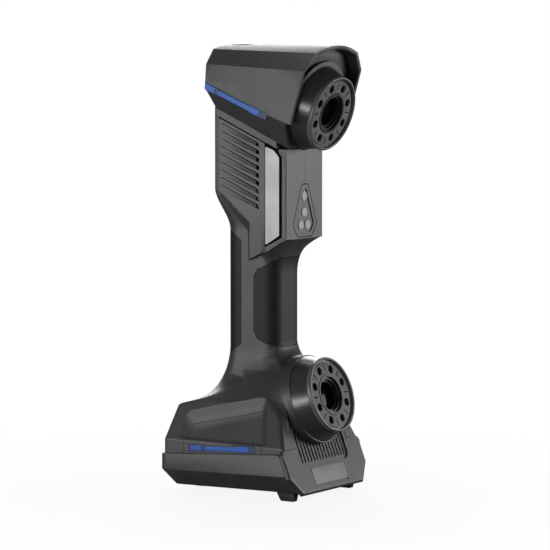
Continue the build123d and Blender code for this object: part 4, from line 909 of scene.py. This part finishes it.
# Stretches of a strip as shares of its length, from its rear end
REAR_BLOCK, FRONT_BLOCK, BAR = (0.003, 0.18), (0.72, 0.89), (0.215, 0.73)
NOTCH, DARK_END, FALL_START = (0.176, 0.219), (0.886, 0.998), 0.89
STRIP_ROUND = 0.5
STRIP_DEPTH = 4.5             # how far a strip reaches in


def bright_strip(place, length, half):
    """Two end blocks joined by a lower, thinner bar."""
    def field(x, y, z):
        share, above, out = place(x, y, z)
        edges = np.abs(above) - half
        rear = rounded_corner(within(share, *REAR_BLOCK) * length, edges, STRIP_ROUND)
        front = rounded_corner(within(share, *FRONT_BLOCK) * length, edges, STRIP_ROUND)
        bar = every(within(share, *BAR) * length, within(above, -half + 0.3, half - 0.7))
        blocks = smooth_max(np.minimum(rear, front), out + 0.02, STRIP_ROUND)
        bar = smooth_max(bar, out + 0.5, STRIP_ROUND)
        return every(np.minimum(blocks, bar), -STRIP_DEPTH - out)
    return field


def dark_strip(place, length, half):
    """Unlit stretches of a strip: the notch behind its bar, and its front end."""
    def field(x, y, z):
        share, above, out = place(x, y, z)
        notch = every(within(share, *NOTCH) * length, np.abs(above) - half + 0.3)
        end = every(within(share, *DARK_END) * length, np.abs(above) - half + 0.1)
        fall = 0.4 + 1.0 * np.clip((share - FALL_START) / 0.11, 0.0, 1.0)
        return every(np.minimum(notch, end), out + fall, -STRIP_DEPTH - out)
    return field


CAP_Y, CAP_RADIUS, CAP_TOP, CAP_FOOT = 18.0, 10.7, 297.99, 293.4
DOME_RADIUS = 42.0


def cap_dome(x, y, z):
    """Low domed cap on the crown of the head."""
    radial = np.hypot(x, y - CAP_Y)
    crown = z - CAP_TOP + radial * radial / (2 * DOME_RADIUS)
    return every(radial - CAP_RADIUS, crown, CAP_FOOT - z)


# ---- Pieces -----------------------------------------------------------------------------------------
def new_piece(name, mesh, material, slot, body_name, *replaced):
    """Links a mesh as a piece that rides on a body and stands for these CAD nodes."""
    piece = bpy.data.objects.new(name, mesh)
    bpy.context.scene.collection.objects.link(piece)
    mesh.materials.clear()
    mesh.materials.append(material)
    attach(piece, body_name)
    if replaced:
        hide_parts(*replaced)
    return piece


CRISP_ANGLE = math.radians(30)


def contour_mesh(name, field, low, high, step, mirrored=False):
    """Mesh of a field's surface in metres, smooth but for its crisp edges."""
    vertices, quads = contour(field, low, high, step)
    mesh = bpy.data.meshes.new(name)
    mesh.from_pydata((vertices * MM).tolist(), [], quads.tolist())
    if mirrored:
        mesh.transform(Matrix.Diagonal((-1, 1, 1, 1)))
        mesh.flip_normals()
    mesh.polygons.foreach_set("use_smooth", [True] * len(mesh.polygons))
    mesh.set_sharp_from_angle(angle=CRISP_ANGLE)
    return mesh


def both_sides(name, field, low, high, step, material, slot, replaced):
    """The same contoured piece on the left and, mirrored, on the right."""
    for side in ("left", "right"):
        mesh = contour_mesh(f"{name}_{side}", field, low, high, step, side == "right")
        nodes = [f"{replaced}_{side}"] if replaced else []
        new_piece(f"{name}_{side}", mesh, material, slot, "scanner", *nodes)


# Grid steps in millimetres: the big shells, the front cover, then the small panels and strips
FINE = 0.8
COVER_STEP = 0.5
PANEL_STEP = 0.33
KITE_STEP, CAP_STEP = 0.3, 0.5

# Each piece is contoured inside the box given by its two opposite corners
HALF_BOX = ((-0.9, -58, 19), (46.5, 60, 266))
for side, field in (("left", housing_with_screws), ("right", housing)):
    name = "housing_shell_" + side
    mesh = contour_mesh(name, field, *HALF_BOX, FINE, side == "right")
    new_piece(name, mesh, SHELL, "shell_plastic", "scanner", "housing_" + side)
both_sides("flank_insert", flank_insert, (25, -28, 24), (46.5, 46, 66), FINE,
           SHELL, "shell_plastic", "flank_panel")
for name, zone, low, high in (("front", front_pad_zone, (-19.3, -24, 92), (19.3, 3, 160)),
                              ("rear", rear_pad_zone, (-24.1, 8, 80), (24.1, 32, 186))):
    mesh = contour_mesh("grip_pad_" + name, pad(zone), low, high, FINE)
    new_piece("grip_pad_" + name, mesh, RUBBER, "grip_rubber", "scanner", "grip_" + name)
both_sides("vent_panel", side_panel, (18.9, -28.6, 155), (22.3, 27.2, 251), PANEL_STEP,
           PANEL, "shell_plastic", "side_panel")
both_sides("plate_shade_bed", plate_shade_bed, (18.9, -25.5, 162), (21.4, -9.8, 235), PANEL_STEP,
           PAINTED_SHADE_BLACK, "lens_tube_black", "")
both_sides("silver_plate", name_plate, (19.6, -22.9, 164), (22.0, -10.0, 231.2), PANEL_STEP,
           SILVER, "plate_silver", "name_plate")
mesh = contour_mesh("front_cover", front_panel, (-48.2, -53, 4), (48.2, -21, 68), COVER_STEP)
new_piece("front_cover", mesh, SHELL, "shell_plastic", "scanner", "front_panel")
mesh = contour_mesh("kite_panel", laser_panel, (-15.6, -29.0, 169), (15.6, -25.6, 206.2), KITE_STEP)
new_piece("kite_panel", mesh, SHELL, "shell_plastic", "scanner", "laser_panel")
HEAD_STRIP_BOX = ((31.0, -23, 244), (36.4, 28.2, 274))
BASE_STRIP_BOX = ((39.4, -21, 27), (45.4, 35, 37))
both_sides("head_light", bright_strip(head_strip_place, HEAD_STRIP_LENGTH, HEAD_STRIP_HALF),
           *HEAD_STRIP_BOX, PANEL_STEP, BLUE, "light_blue", "head_light_strip")
both_sides("head_light_end", dark_strip(head_strip_place, HEAD_STRIP_LENGTH, HEAD_STRIP_HALF),
           *HEAD_STRIP_BOX, PANEL_STEP, DARK_BLUE, "light_blue", "")
both_sides("base_light", bright_strip(base_strip_place, BASE_STRIP_LENGTH, BASE_STRIP_HALF),
           *BASE_STRIP_BOX, PANEL_STEP, BLUE, "light_blue", "base_light_strip")
both_sides("base_light_end", dark_strip(base_strip_place, BASE_STRIP_LENGTH, BASE_STRIP_HALF),
           *BASE_STRIP_BOX, PANEL_STEP, DARK_BLUE, "light_blue", "")
mesh = contour_mesh("domed_cap", cap_dome, (-11.6, 6.4, 292.6), (11.6, 29.6, 298.8), CAP_STEP)
new_piece("domed_cap", mesh, BARREL, "barrel_plastic", "scanner", "top_cap")


FLAT_ANGLE = math.radians(0.6)        # faces that turn less than this become one
BEVEL_ANGLE = math.radians(24.0)      # edges that turn more than this are rounded
MERGE_DISTANCE = 0.01 * MM


def softened(node, width, material=None):
    """Copy of a CAD node with its edges rounded over this width in millimetres."""
    source = NODES[node]
    shape = bmesh.new()
    shape.from_mesh(source.data)
    shape.transform(source.matrix_world)
    bmesh.ops.remove_doubles(shape, verts=shape.verts, dist=MERGE_DISTANCE)
    bmesh.ops.dissolve_limit(shape, angle_limit=FLAT_ANGLE, verts=shape.verts, edges=shape.edges)
    name = "soft_" + node
    mesh = bpy.data.meshes.new(name)
    shape.to_mesh(mesh)
    shape.free()
    mesh.polygons.foreach_set("use_smooth", [True] * len(mesh.polygons))
    piece = new_piece(name, mesh, material or FINISH[SLOTS[node]], SLOTS[node], "scanner", node)
    bevel = piece.modifiers.new("edges", "BEVEL")
    bevel.width = width * MM
    bevel.segments = 3
    bevel.limit_method = "ANGLE"
    bevel.angle_limit = BEVEL_ANGLE
    bevel.harden_normals = True
    bevel.use_clamp_overlap = True


SLOTS = {entry["node"]: entry["material_slot"] for entry in frame["record"]["subparts"]}
# CAD nodes shown with rounded edges, and the width of the rounding
ROUNDED = {
    "head_shroud": 0.5, "head_tray": 0.6, "head_bulkhead": 0.5,
    "base_skirt": 0.7, "front_plate": 0.3, "bottom_cover": 0.5,
    "front_feet": 0.5, "rear_foot": 0.5, "keypad_bezel": 0.3,
    "upper_bezel_ring": 0.3, "lower_bezel_ring": 0.3, "upper_led_plate": 0.12, "lower_led_plate": 0.12,
}
# the finishes that differ from their slot's own; the head bulkhead's dark tube black is painted shade
# inside the hood
SPECIAL = {"upper_led_plate": LED_PLATE, "lower_led_plate": LED_PLATE, "front_plate": FRONT_SILVER,
           "head_bulkhead": TUBE_BLACK_AND_HOOD_SHADE}
for node, width in ROUNDED.items():
    softened(node, width, SPECIAL.get(node))


# ---- The CAD nodes that still show, and the sizes ---------------------------------------------------
for entry in frame["record"]["subparts"]:
    mesh = NODES[entry["node"]].data
    mesh.materials.clear()
    mesh.materials.append(FINISH[entry["material_slot"]])

low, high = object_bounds()
{"cad": [list(CAD_LOW), list(CAD_HIGH)], "visual": [list(low), list(high)]}
